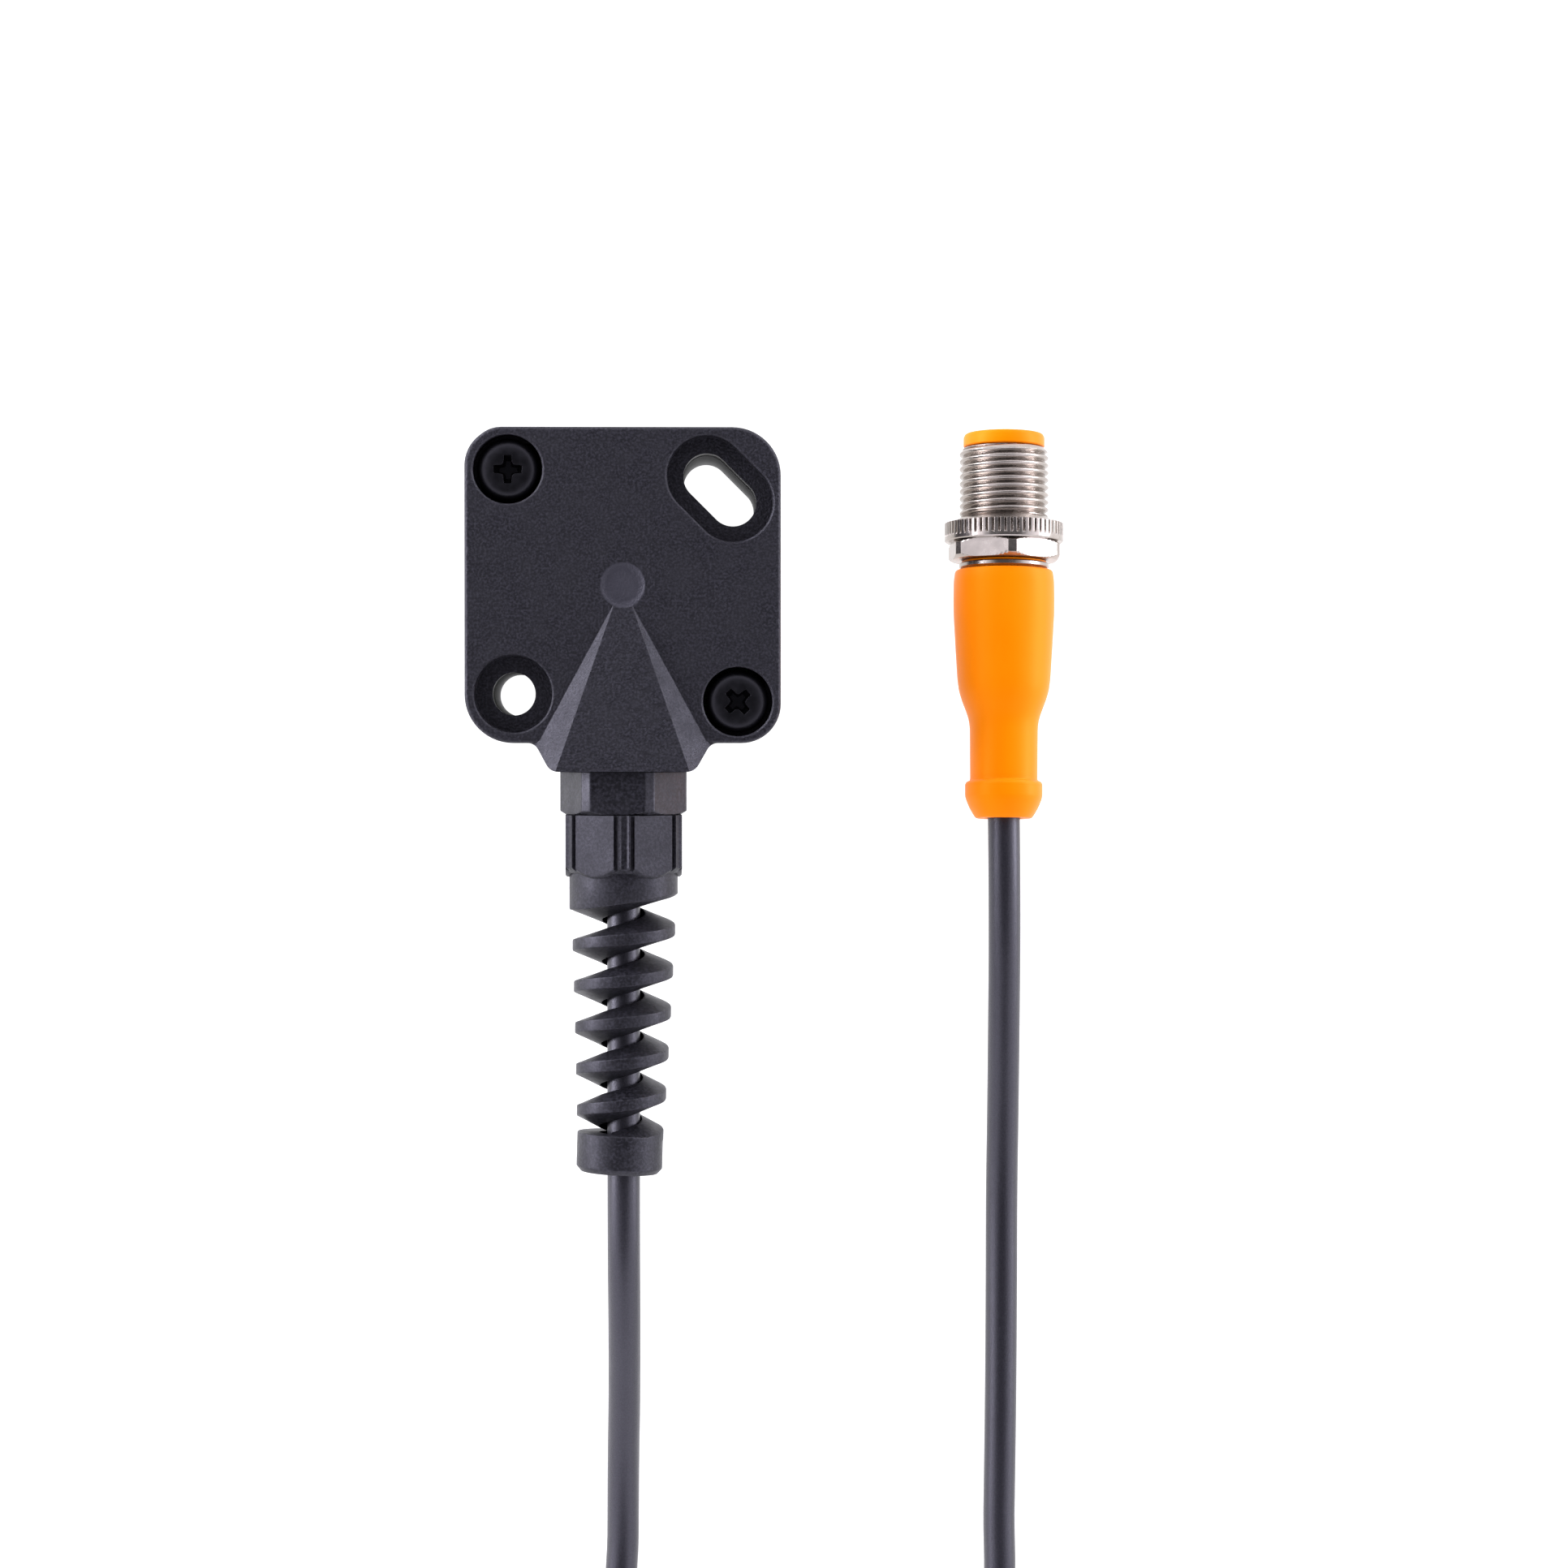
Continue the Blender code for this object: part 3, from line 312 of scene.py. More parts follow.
class Look:
    """A node material under construction. Coordinates are the object's own, in metres."""

    def __init__(self, name, slot):
        self.material = bpy.data.materials.new(name)
        self.material["slot"] = slot
        self.material.use_nodes = True
        self.tree = self.material.node_tree
        self.shader = self.tree.nodes["Principled BSDF"]
        self.coordinates = self.tree.nodes.new("ShaderNodeTexCoord").outputs["Object"]

    def set(self, **values):
        """Puts constant values on the shader's own sockets."""
        for name, value in values.items():
            self.shader.inputs[name.replace("_", " ")].default_value = value

    def link(self, start, end):
        self.tree.links.new(start, end)

    def noise(self, scale, detail=2.0, roughness=0.5, stretch=None):
        """A noise with scale features per metre, along each axis times stretch."""
        node = self.tree.nodes.new("ShaderNodeTexNoise")
        node.inputs["Scale"].default_value = scale
        node.inputs["Detail"].default_value = detail
        node.inputs["Roughness"].default_value = roughness
        source = self.coordinates
        if stretch:
            mapping = self.tree.nodes.new("ShaderNodeMapping")
            mapping.inputs["Scale"].default_value = stretch
            self.link(source, mapping.inputs["Vector"])
            source = mapping.outputs["Vector"]
        self.link(source, node.inputs["Vector"])
        return node.outputs["Fac"]

    def ramp(self, value, *stops):
        """stops are (position, colour), and a colour may be one number."""
        node = self.tree.nodes.new("ShaderNodeValToRGB")
        elements = node.color_ramp.elements
        while len(elements) < len(stops):
            elements.new(1.0)
        for element, (position, colour) in zip(elements, stops):
            element.position = position
            element.color = (*colour, 1) if isinstance(colour, tuple) else (colour,) * 3 + (1,)
        self.link(value, node.inputs["Fac"])
        return node.outputs["Color"]

    def disc(self, radius):
        """1 within radius of the Z axis, and 0 beyond."""
        flat = self.tree.nodes.new("ShaderNodeMapping")
        flat.inputs["Scale"].default_value = (0.5 / radius, 0.5 / radius, 0)
        distance = self.tree.nodes.new("ShaderNodeVectorMath")
        distance.operation = "LENGTH"
        self.link(self.coordinates, flat.inputs["Vector"])
        self.link(flat.outputs["Vector"], distance.inputs[0])
        return self.ramp(distance.outputs["Value"], (0.48, 1.0), (0.5, 0.0))

    def mix(self, share, first, second):
        """From first to the colour second, by share."""
        node = self.tree.nodes.new("ShaderNodeMix")
        node.data_type = "RGBA"
        self.link(share, node.inputs["Factor"])
        self.link(first, node.inputs["A"])
        node.inputs["B"].default_value = (*second, 1)
        return node.outputs["Result"]

    def bump(self, height, distance, soften=0.0, before=None):
        """A bump over the normal called before, or over edges that are rounded by soften."""
        node = self.tree.nodes.new("ShaderNodeBump")
        node.inputs["Distance"].default_value = distance
        self.link(height, node.inputs["Height"])
        if before:
            self.link(before, node.inputs["Normal"])
        elif soften:
            self.link(self.soft_edges(soften), node.inputs["Normal"])
        return node.outputs["Normal"]

    def soft_edges(self, radius):
        """A normal that rounds the edges by radius."""
        node = self.tree.nodes.new("ShaderNodeBevel")
        node.samples = 4
        node.inputs["Radius"].default_value = radius
        return node.outputs["Normal"]

    def connect(self, **sources):
        """Links sources to the shader's sockets, and returns the finished material."""
        for name, source in sources.items():
            self.link(source, self.shader.inputs[name.replace("_", " ")])
        return self.material


def moulded_plastic(name, slot, colour, roughness, grain, depth, disc=0.0, soften=0.12 * MM):
    """A moulded plastic with a spark-eroded grain that is grain wide, and uneven gloss.

    A disc is the radius of a spot about the Z axis that is painted paler, a painted sheen on the smooth
    dish.
    """
    look = Look(name, slot)
    look.set(Specular_IOR_Level=0.42, Specular_Tint=(*VIOLET, 1))
    fine = look.noise(1 / grain, detail=3, roughness=0.6)
    cloud = look.noise(1 / (CLOUD * grain), detail=3, roughness=0.6)
    darker = tuple(channel * GRAIN_PIT_SHADE for channel in colour)
    top_highlight = tuple(channel * GRAIN_TOP_HIGHLIGHT for channel in colour)
    gloss = look.ramp(cloud, (0.3, roughness - 0.08), (0.7, roughness + 0.08))
    normal = look.bump(fine, depth, soften=soften)
    # The grain's pits are painted darker and its tops paler, by the same noise that drives the bump:
    # painted shade and painted highlight on the grain's relief.
    shade = look.ramp(fine, (0.42, darker), (0.66, top_highlight))
    shade = look.mix(look.ramp(cloud, (0.35, 0.0), (0.65, 0.45)), shade, darker)
    # The dish is painted paler within the disc: painted sheen.
    if disc:
        shade = look.mix(look.disc(disc), shade, tuple(channel * DISC_SHEEN_SHARE for channel in colour))
    return look.connect(Base_Color=shade, Roughness=gloss, Normal=normal)


def satin_plastic(name, slot, colour, roughness, specular=0.5, tint=(1, 1, 1), soften=0.1 * MM):
    """A smoother moulded plastic with faint flow marks."""
    look = Look(name, slot)
    look.set(Specular_IOR_Level=specular, Specular_Tint=(*tint, 1))
    flow = look.noise(260, detail=3, stretch=(1, 0.35, 1))
    deeper = tuple(channel * FLOW_SHARE for channel in colour)
    gloss = look.ramp(flow, (0.3, roughness - 0.04), (0.7, roughness + 0.06))
    normal = look.bump(look.noise(3500, detail=2), 0.002 * MM, soften=soften)
    return look.connect(
        Base_Color=look.ramp(flow, (0.3, deeper), (0.7, colour)), Roughness=gloss, Normal=normal
    )


def turned_metal(name, slot, colour, roughness, marks=0.0015 * MM, stretch=(1, 10, 1), edge=1.0):
    """A metal with fine tool marks across stretch's long axis, and a little tarnish.

    A dull metal has a low edge: it stays dark at a grazing angle.
    """
    look = Look(name, slot)
    look.set(Metallic=1.0, Specular_Tint=(edge, edge, edge, 1))
    tarnish = look.noise(700, detail=4)
    duller = tuple(channel * TARNISH_SHARE for channel in colour)
    gloss = look.ramp(tarnish, (0.3, roughness - 0.05), (0.75, roughness + 0.07))
    normal = look.bump(look.noise(900, detail=3, stretch=stretch), marks, soften=0.05 * MM)
    return look.connect(
        Base_Color=look.ramp(tarnish, (0.35, duller), (0.65, colour)), Roughness=gloss, Normal=normal
    )


def seal_rubber(name, slot):
    look = Look(name, slot)
    grain = look.noise(5000, detail=2)
    shade = look.ramp(look.noise(500, detail=3), (0.3, (0.012,) * 3), (0.7, (0.024,) * 3))
    return look.connect(
        Base_Color=shade,
        Roughness=look.ramp(grain, (0.3, 0.7), (0.7, 0.85)),
        Normal=look.bump(grain, 0.006 * MM),
    )


def cable_jacket(name, slot):
    """A matt extruded jacket: a fine grain, and faint streaks along its length."""
    look = Look(name, slot)
    look.set(Specular_Tint=(*VIOLET, 1), Specular_IOR_Level=0.7)
    grain = look.noise(5200, detail=3, roughness=0.65)
    streaks = look.noise(700, detail=2, stretch=(1, 0.05, 1))
    shade = look.ramp(grain, (0.3, (0.006, 0.0058, 0.008)), (0.7, (0.022, 0.021, 0.027)))
    normal = look.bump(grain, 0.03 * MM, before=look.bump(streaks, 0.006 * MM))
    gloss = look.ramp(streaks, (0.3, 0.3), (0.7, 0.37))
    return look.connect(Base_Color=shade, Roughness=gloss, Normal=normal)


def clear_plastic(name, slot, colour, roughness=0.03):
    """A polished transparent plastic, very faintly wavy."""
    look = Look(name, slot)
    look.set(Base_Color=(*colour, 1), Transmission_Weight=1.0, IOR=1.49)
    haze = look.ramp(look.noise(600, detail=2), (0.3, roughness), (0.7, roughness + 0.03))
    return look.connect(Roughness=haze, Normal=look.bump(look.noise(150, detail=1), 0.004 * MM))


def circuit_board(name, slot):
    """Solder mask over copper tracks."""
    look = Look(name, slot)
    bricks = look.tree.nodes.new("ShaderNodeTexBrick")
    bricks.inputs["Scale"].default_value = 260
    bricks.inputs["Mortar Size"].default_value = 0.03
    bricks.inputs["Color1"].default_value = (0.012, 0.12, 0.045, 1)
    bricks.inputs["Color2"].default_value = (0.016, 0.15, 0.055, 1)
    bricks.inputs["Mortar"].default_value = (0.05, 0.3, 0.12, 1)
    look.link(look.coordinates, bricks.inputs["Vector"])
    gloss = look.ramp(look.noise(800), (0.3, 0.25), (0.7, 0.35))
    return look.connect(Base_Color=bricks.outputs["Color"], Roughness=gloss)


def make_looks():
    black = (0.01, 0.0097, 0.0125)
    upright = (1, 1, 10)
    nickel = (0.45, 0.405, 0.37)
    steel = (0.33, 0.33, 0.34)
    blackened = (0.036, 0.035, 0.041)
    orange = (1.0, 0.235, 0.0)
    amber = (1, 0.75, 0.1)
    return {
        "housing": moulded_plastic(
            "housing_plastic", "black_plastic", black, 0.44, 0.32 * MM, 0.12 * MM, DISH_RADIUS
        ),
        "gland": moulded_plastic("gland_plastic", "black_plastic", black, 0.42, 0.4 * MM, 0.02 * MM),
        "spiral": moulded_plastic("spiral_plastic", "black_plastic", black, 0.48, 0.36 * MM, 0.025 * MM),
        "dark": satin_plastic("holder_plastic", "dark_plastic", (0.014, 0.014, 0.014), 0.7),
        "steel": turned_metal("sleeve_steel", "stainless_steel", steel, 0.62, stretch=upright, edge=0.5),
        "screw": turned_metal("screw_black", "blackened_steel", blackened, 0.36, stretch=upright),
        "brass": turned_metal("column_brass", "brass", (0.74, 0.55, 0.25), 0.3, stretch=upright),
        "gold": turned_metal("pin_gold", "gold_plate", (0.95, 0.7, 0.3), 0.18, 0.001 * MM),
        "nickel": turned_metal("nickel_plate", "nickel_plate", nickel, 0.24, 0.0005 * MM),
        "rubber": seal_rubber("seal_rubber", "seal_rubber"),
        "window": clear_plastic("window_red", "tinted_window", (0.16, 0.006, 0.006)),
        "lens": clear_plastic("lens_clear", "clear_lens", (0.95, 0.97, 0.97)),
        "board": circuit_board("board_green", "circuit_board"),
        "chip": satin_plastic("chip_epoxy", "chip_plastic", (0.02, 0.02, 0.021), 0.5),
        "led": satin_plastic("led_resin", "led_resin", (0.8, 0.72, 0.35), 0.2),
        "cable": cable_jacket("cable_jacket", "cable_jacket"),
        "orange": satin_plastic("orange_plastic", "orange_plastic", orange, 0.42, 0.3, amber),
        "brown": satin_plastic("core_brown", "brown_core", (0.2, 0.07, 0.02), 0.45),
        "white": satin_plastic("core_white", "white_core", (0.8, 0.8, 0.78), 0.45),
        "blue": satin_plastic("core_blue", "blue_core", (0.03, 0.12, 0.5), 0.45),
        "black": satin_plastic("core_black", "black_core", (0.02, 0.02, 0.02), 0.45),
    }


# Camera, light and floor -------------------------------------------------------------------------

CAMERA_PLACE = Vector((8.72, -19.64, 530)) * MM
CAMERA_TARGET = Vector((21.5, -26.1, 0)) * MM
CAMERA_LENS = 89.4
CAMERA_SENSOR = 36
LIGHT_COLOUR = (0.92, 0.91, 1)
LIGHT_TARGET = (0.02, -0.03, 0)
LIGHTS = (  # name, place, width and height in metres, power in watts
    ("left_box", (-0.75, 0.3, 0.23), (1.0, 0.35), 12),
    ("right_box", (0.8, 0.3, 0.1), (1.0, 0.3), 7.5),
)
TENT_STRENGTH = 1.75
TENT_WALL_TOP = 0.64  # sines of the heights where the tent starts to darken and where it is open
TENT_OPENING = 0.85
TENT_OPENING_SHARE = 0.08
FLOOR_HALF = 3
FLOOR_DROP = 0.05 * MM
FLOOR_GREY = 0.3
FLOOR_GLOW = 1.04


def make_camera():
    camera = bpy.data.objects.new("camera", bpy.data.cameras.new("camera"))
    camera.data.lens = CAMERA_LENS
    camera.data.sensor_width = CAMERA_SENSOR
    camera.data.clip_start = 10 * MM
    backwards = (CAMERA_PLACE - CAMERA_TARGET).normalized()
    right = Vector((0, 1, 0)).cross(backwards).normalized()
    up = backwards.cross(right)
    turn = Matrix((right, up, backwards)).transposed().to_4x4()
    camera.matrix_world = Matrix.Translation(CAMERA_PLACE) @ turn
    scene.collection.objects.link(camera)
    scene.camera = camera


def make_light(name, place, size, power):
    light = bpy.data.lights.new(name, "AREA")
    light.shape = "RECTANGLE"
    light.size, light.size_y = size
    light.energy = power
    light.color = LIGHT_COLOUR
    obj = bpy.data.objects.new(name, light)
    obj.location = place
    obj.rotation_euler = (Vector(LIGHT_TARGET) - Vector(place)).to_track_quat("-Z", "Y").to_euler()
    scene.collection.objects.link(obj)


def make_tent():
    """A white light tent: bright all round, and dark above, where its opening is."""
    world = bpy.data.worlds.new("tent")
    world.use_nodes = True
    tree = world.node_tree
    direction = tree.nodes.new("ShaderNodeTexCoord")
    height = tree.nodes.new("ShaderNodeSeparateXYZ")
    ramp = tree.nodes.new("ShaderNodeValToRGB")
    elements = ramp.color_ramp.elements
    elements[0].position = TENT_WALL_TOP
    elements[0].color = (*LIGHT_COLOUR, 1)
    elements[1].position = TENT_OPENING
    elements[1].color = (*(channel * TENT_OPENING_SHARE for channel in LIGHT_COLOUR), 1)
    tree.links.new(direction.outputs["Generated"], height.inputs["Vector"])
    tree.links.new(height.outputs["Z"], ramp.inputs["Fac"])
    tree.links.new(ramp.outputs["Color"], tree.nodes["Background"].inputs["Color"])
    tree.nodes["Background"].inputs["Strength"].default_value = TENT_STRENGTH
    scene.world = world


def make_stage():
    """A white light table in the tent, and a soft box on each side."""
    make_tent()
    for light in LIGHTS:
        make_light(*light)
    bm = bmesh.new()
    bmesh.ops.create_grid(bm, x_segments=1, y_segments=1, size=FLOOR_HALF)
    mesh = bpy.data.meshes.new("floor")
    bm.to_mesh(mesh)
    bm.free()
    look = Look("floor_white", "")
    look.set(Base_Color=(*(FLOOR_GREY,) * 3, 1), Roughness=0.9)
    look.set(Emission_Color=(1, 1, 1, 1), Emission_Strength=FLOOR_GLOW)
    mesh.materials.append(look.material)
    floor = bpy.data.objects.new("floor", mesh)
    floor.location.z = -FLOOR_DROP
    scene.collection.objects.link(floor)


# Housing -----------------------------------------------------------------------------------------

PLATE_CORNERS = (
    (HALF, HALF, 6.3 * MM),
    (-HALF + 3.4 * MM, HALF, 4.2 * MM),
    (-HALF, HALF - 2.6 * MM, 4.9 * MM),
    (-HALF, -HALF, 6.3 * MM),
    (HALF, -HALF, 5.1 * MM),
)
EDGE = 0.5 * MM
EDGE_STEPS = 6
WALL = 2 * MM
CEILING = HEIGHT - 2.5 * MM
DISH_RADIUS = 3 * MM
DISH_DEPTH = 0.28 * MM
DISH_PROFILE = ((1.0, 0.0), (0.93, 0.3), (0.86, 0.58), (0.79, 0.8), (0.72, 0.94), (0.65, 1.0))
NECK_BOTTOM = 11 * MM
NECK_SIDE = 11.3 * MM
NECK_TIP_X = 9.3 * MM
NECK_FILLET = 1.6 * MM
NECK_FILLET_CENTRE = (12.35 * MM, -HALF - NECK_FILLET)
NECK_FILLET_START = radians(151)
NECK_FILLET_END = radians(90)
NECK_TOP = -19.6 * MM
NECK_TIP_RADIUS = 1.8 * MM
NECK_CHAMFER = 4 * MM
FACET_START = Vector((1.26 * MM, -2.9 * MM, HEIGHT + 0.1 * MM))
FACET_END = Vector((8.65 * MM, NECK_END, HOUSING_HIGH.z))
FOOT_START = (1.6 * MM, -2.6 * MM)
FOOT_END = Vector((10.95 * MM, -HALF, HEIGHT))
HOLE = (-14.2 * MM, -14.1 * MM)
SLOT = (12.6 * MM, 12.5 * MM)
SLOT_ANGLE = radians(-45)
SLOT_REACH = 4.8 * MM
SEATS = ((HOLE, 10.1 * MM, 5.6 * MM, 0), (SLOT, 10.4 * MM, 6.1 * MM, SLOT_REACH))
SEAT_FLOOR = 22 * MM
SEAT_BOTTOM = 19.5 * MM
SEAT_WALL = 1 * MM
RIM = 0.22 * MM
SCREWS = ((-14.9 * MM, 15.0 * MM), (14.9 * MM, -15.1 * MM))
SCREW_TURNS = (0, radians(42))
SCREW_SEAT = 21.5 * MM
SCREW_COUNTERBORE = 9 * MM
SCREW_BOSS = 7.6 * MM
SCREW_HOLE = 4.2 * MM
COLUMN_HOLE = 5.9 * MM
COLUMN_REST = 9.2 * MM
SCREW_PITCH_RADIUS = 1.9 * MM
SCREW_HEAD_RADIUS = 4 * MM
SCREW_RIM = 1.5 * MM
SCREW_CROWN = 1.3 * MM
SCREW_TOP = 24.5 * MM
CROSS_LEVELS = ((-2.2 * MM, 0.6), (-1.2 * MM, 0.92), (0.4 * MM, 1))  # (height over SCREW_TOP, share)
CROSS_REACH = 1.9 * MM
CROSS_HALF = 0.52 * MM
CROSS_FLARE = 0.62 * MM
THREAD_HOLE_RADIUS = 6 * MM
THREAD_HOLE_END = -15 * MM
RING_SEAT_RADIUS = 7.6 * MM
RING_SEAT_END = NECK_END + 1.3 * MM
WINDOW_CENTRE = (1 * MM, 13 * MM)
WINDOW_SIZE = (17 * MM, 14 * MM)
WINDOW_LEDGE = 1 * MM
WINDOW_RECESS = 1.2 * MM
BASE_TOP = 3 * MM
BASE_EDGE = 0.3 * MM
BASE_TOP_EDGE = 0.1 * MM
SLEEVE_ROOM = 1.1 * MM
SLEEVE_WALL = 0.9 * MM
SLEEVE_EDGE = 0.12 * MM
SLEEVE_LEVELS = (0, 17 * MM)
SEAL_LEVELS = (17.2 * MM, 19.3 * MM)


def hump_and_neck():
    """The wedge on the plate and the neck beyond it, cut by the facet, flanks and lower chamfers."""
    side = [(NECK_TIP_X, NECK_END, NECK_TIP_RADIUS)]
    for step in range(9):
        angle = NECK_FILLET_START + (NECK_FILLET_END - NECK_FILLET_START) * step / 8
        x = NECK_FILLET_CENTRE[0] + NECK_FILLET * cos(angle)
        side.append((x, NECK_FILLET_CENTRE[1] + NECK_FILLET * sin(angle), SMALLEST_RADIUS / 4))
    side += [(NECK_FILLET_CENTRE[0], NECK_TOP, SMALLEST_RADIUS), (*FOOT_START, SMALLEST_RADIUS)]
    mirrored = tuple((-x, y, radius) for x, y, radius in reversed(side))
    outline = rounded_outline((*side, *mirrored), steps=8)
    bm = slab(((NECK_BOTTOM, outline), (HOUSING_HIGH.z + 3 * MM, outline)))
    mirror = Vector((-1, 1, 1))
    facet = (FACET_START, FACET_END, FACET_END * mirror)
    flank = (FACET_START, FACET_END, FOOT_END)
    chamfer = (
        Vector((NECK_SIDE, 0, NECK_BOTTOM + NECK_CHAMFER)),
        Vector((NECK_SIDE, NECK_END, NECK_BOTTOM + NECK_CHAMFER)),
        Vector((NECK_SIDE - NECK_CHAMFER, 0, NECK_BOTTOM)),
    )
    inside = Vector((0, NECK_END / 2, GLAND_HEIGHT))
    planes = [facet, flank, chamfer]
    planes += [tuple(point * mirror for point in plane) for plane in (flank, chamfer)]
    for a, b, c in planes:
        normal = (b - a).cross(c - a).normalized()
        if normal.dot(inside - a) > 0:
            normal = -normal
        geometry = bm.verts[:] + bm.edges[:] + bm.faces[:]
        halved = bmesh.ops.bisect_plane(
            bm, geom=geometry, plane_co=a, plane_no=normal, clear_outer=True, dist=0.001 * MM
        )
        rim = [item for item in halved["geom_cut"] if isinstance(item, bmesh.types.BMEdge)]
        bmesh.ops.contextual_create(bm, geom=rim)
    bmesh.ops.recalc_face_normals(bm, faces=bm.faces)
    return bm


def sink(centre, width, floor, reach=0.0):
    """A cutter for a counterbore with a small chamfer round its rim."""
    levels = [(floor, stadium(centre, width, reach, SLOT_ANGLE))]
    levels.append((HEIGHT - RIM, stadium(centre, width, reach, SLOT_ANGLE)))
    mouth = width + 2 * (RIM + OVERSHOOT)
    levels.append((HEIGHT + OVERSHOOT, stadium(centre, mouth, reach, SLOT_ANGLE)))
    return slab(levels)


def through(centre, width, low, high, reach=0.0):
    """A straight peg between two heights, drawn out by reach along the slot."""
    outline = stadium(centre, width, reach, SLOT_ANGLE)
    return slab(((low, outline), (high, outline)))


def make_housing(look):
    outline = rounded_outline(PLATE_CORNERS)
    levels = [(HOUSING_BOTTOM, outline)]
    for step in range(EDGE_STEPS + 1):
        angle = pi / 2 * step / EDGE_STEPS
        inset = EDGE * (1 - cos(angle))
        levels.append((HEIGHT - EDGE * (1 - sin(angle)), rounded_outline(PLATE_CORNERS, inset)))
    housing = add("housing_shell", slab(levels), look, ["housing"])

    inner = rounded_outline(PLATE_CORNERS, WALL)
    changes = [("UNION", hump_and_neck(), None)]
    changes.append(("DIFFERENCE", slab(((0, inner), (CEILING, inner))), None))
    boss_top = CEILING + OVERSHOOT
    for centre, width, _, reach in SEATS:
        boss = through(centre, width + 2 * SEAT_WALL, SEAT_BOTTOM, boss_top, reach)
        changes.append(("UNION", boss, None))
    for centre in SCREWS:
        changes.append(("DIFFERENCE", through(centre, COLUMN_HOLE, 0, COLUMN_REST + OVERSHOOT), None))
        changes.append(("UNION", through(centre, SCREW_BOSS, COLUMN_REST, boss_top), None))
    for centre, width, hole, reach in SEATS:
        changes.append(("DIFFERENCE", sink(centre, width, SEAT_FLOOR, reach), None))
        low = SEAT_BOTTOM - OVERSHOOT
        changes.append(("DIFFERENCE", through(centre, hole, low, HEIGHT, reach), None))
    for centre in SCREWS:
        changes.append(("DIFFERENCE", sink(centre, SCREW_COUNTERBORE, SCREW_SEAT), None))
        low = COLUMN_REST - OVERSHOOT
        changes.append(("DIFFERENCE", through(centre, SCREW_HOLE, low, HEIGHT), None))
    dish = [(HEIGHT + OVERSHOOT, stadium((0, 0), 2 * DISH_RADIUS))]
    for share, depth in DISH_PROFILE:
        dish.append((HEIGHT - DISH_DEPTH * depth, stadium((0, 0), 2 * DISH_RADIUS * share)))
    changes.append(("DIFFERENCE", slab(dish), None))
    mouth = NECK_END - OVERSHOOT
    for radius, end in ((THREAD_HOLE_RADIUS, THREAD_HOLE_END), (RING_SEAT_RADIUS, RING_SEAT_END)):
        changes.append(("DIFFERENCE", barrel(((mouth, radius), (end, radius))), GLAND_AXIS))
    centre_y, centre_z = WINDOW_CENTRE
    width, height = WINDOW_SIZE
    recess = box((2 * WINDOW_RECESS, width, height), (-HALF, centre_y, centre_z), 0.4 * MM)
    opening = (4 * WALL, width - 2 * WINDOW_LEDGE, height - 2 * WINDOW_LEDGE)
    changes.append(("DIFFERENCE", recess, None))
    changes.append(("DIFFERENCE", box(opening, (-HALF, centre_y, centre_z)), None))
    combine(housing, changes)


def make_base_cover(look):
    outline = rounded_outline(PLATE_CORNERS)
    levels = [(0, rounded_outline(PLATE_CORNERS, BASE_EDGE))]
    levels += [(0.3 * BASE_EDGE, rounded_outline(PLATE_CORNERS, 0.3 * BASE_EDGE))]
    levels += [(BASE_EDGE, outline), (BASE_TOP - BASE_TOP_EDGE, outline)]
    levels += [(BASE_TOP, rounded_outline(PLATE_CORNERS, BASE_TOP_EDGE))]
    base = add("base_plate", slab(levels), look, ["base_cover"])
    changes = []
    for centre, _, hole, reach in SEATS:
        width = hole + 2 * SLEEVE_ROOM
        cutter = through(centre, width, -OVERSHOOT, BASE_TOP + OVERSHOOT, reach)
        changes.append(("DIFFERENCE", cutter, None))
    combine(base, changes)


def make_sleeves(looks):
    soft = SLEEVE_EDGE
    for name, (centre, _, width, reach) in zip(("round", "slotted"), SEATS):
        outer = width + 2 * SLEEVE_WALL
        for node, (low, high), look in (
            ("mounting_sleeve_" + name, SLEEVE_LEVELS, "steel"),
            ("sleeve_seal_" + name, SEAL_LEVELS, "rubber"),
        ):
            profile = (
                (low + soft, outer),
                (high - soft, outer),
                (high, outer - 2 * soft),
                (high, width + 2 * soft),
                (high - soft, width),
                (low + soft, width),
                (low, width + 2 * soft),
                (low, outer - 2 * soft),
            )
            rings = [(z, stadium(centre, across, reach, SLOT_ANGLE)) for z, across in profile]
            add(node + "_fine", slab(rings, closed=True), looks[look], [node])


def make_screws(look):
    seat = SCREW_SEAT + 0.2 * MM
    rim = seat + SCREW_RIM
    for number, (centre, turn) in enumerate(zip(SCREWS, SCREW_TURNS), 1):
        profile = [(3.5 * MM, 1.3 * MM), (4.4 * MM, SCREW_PITCH_RADIUS), (seat, SCREW_PITCH_RADIUS)]
        profile += [(seat, SCREW_HEAD_RADIUS - 0.15 * MM), (seat + 0.3 * MM, SCREW_HEAD_RADIUS)]
        profile.append((rim, SCREW_HEAD_RADIUS))
        for step in range(1, 9):
            angle = pi / 2 * step / 9
            profile.append((rim + SCREW_CROWN * sin(angle), SCREW_HEAD_RADIUS * cos(angle) ** 0.5))
        levels = [(z, stadium((0, 0), 2 * radius)) for z, radius in profile]
        place = Matrix.Translation((*centre, 0)) @ Matrix.Rotation(turn, 4, "Z")
        name = f"cover_screw_{number}"
        screw = add(name + "_fine", slab(levels), look, [name], matrix=place)
        levels = []
        for rise, share in CROSS_LEVELS:
            cross = [(x * share, y * share) for x, y in phillips_cross()]
            levels.append((SCREW_TOP + rise, cross))
        combine(screw, [("DIFFERENCE", slab(levels), place)])


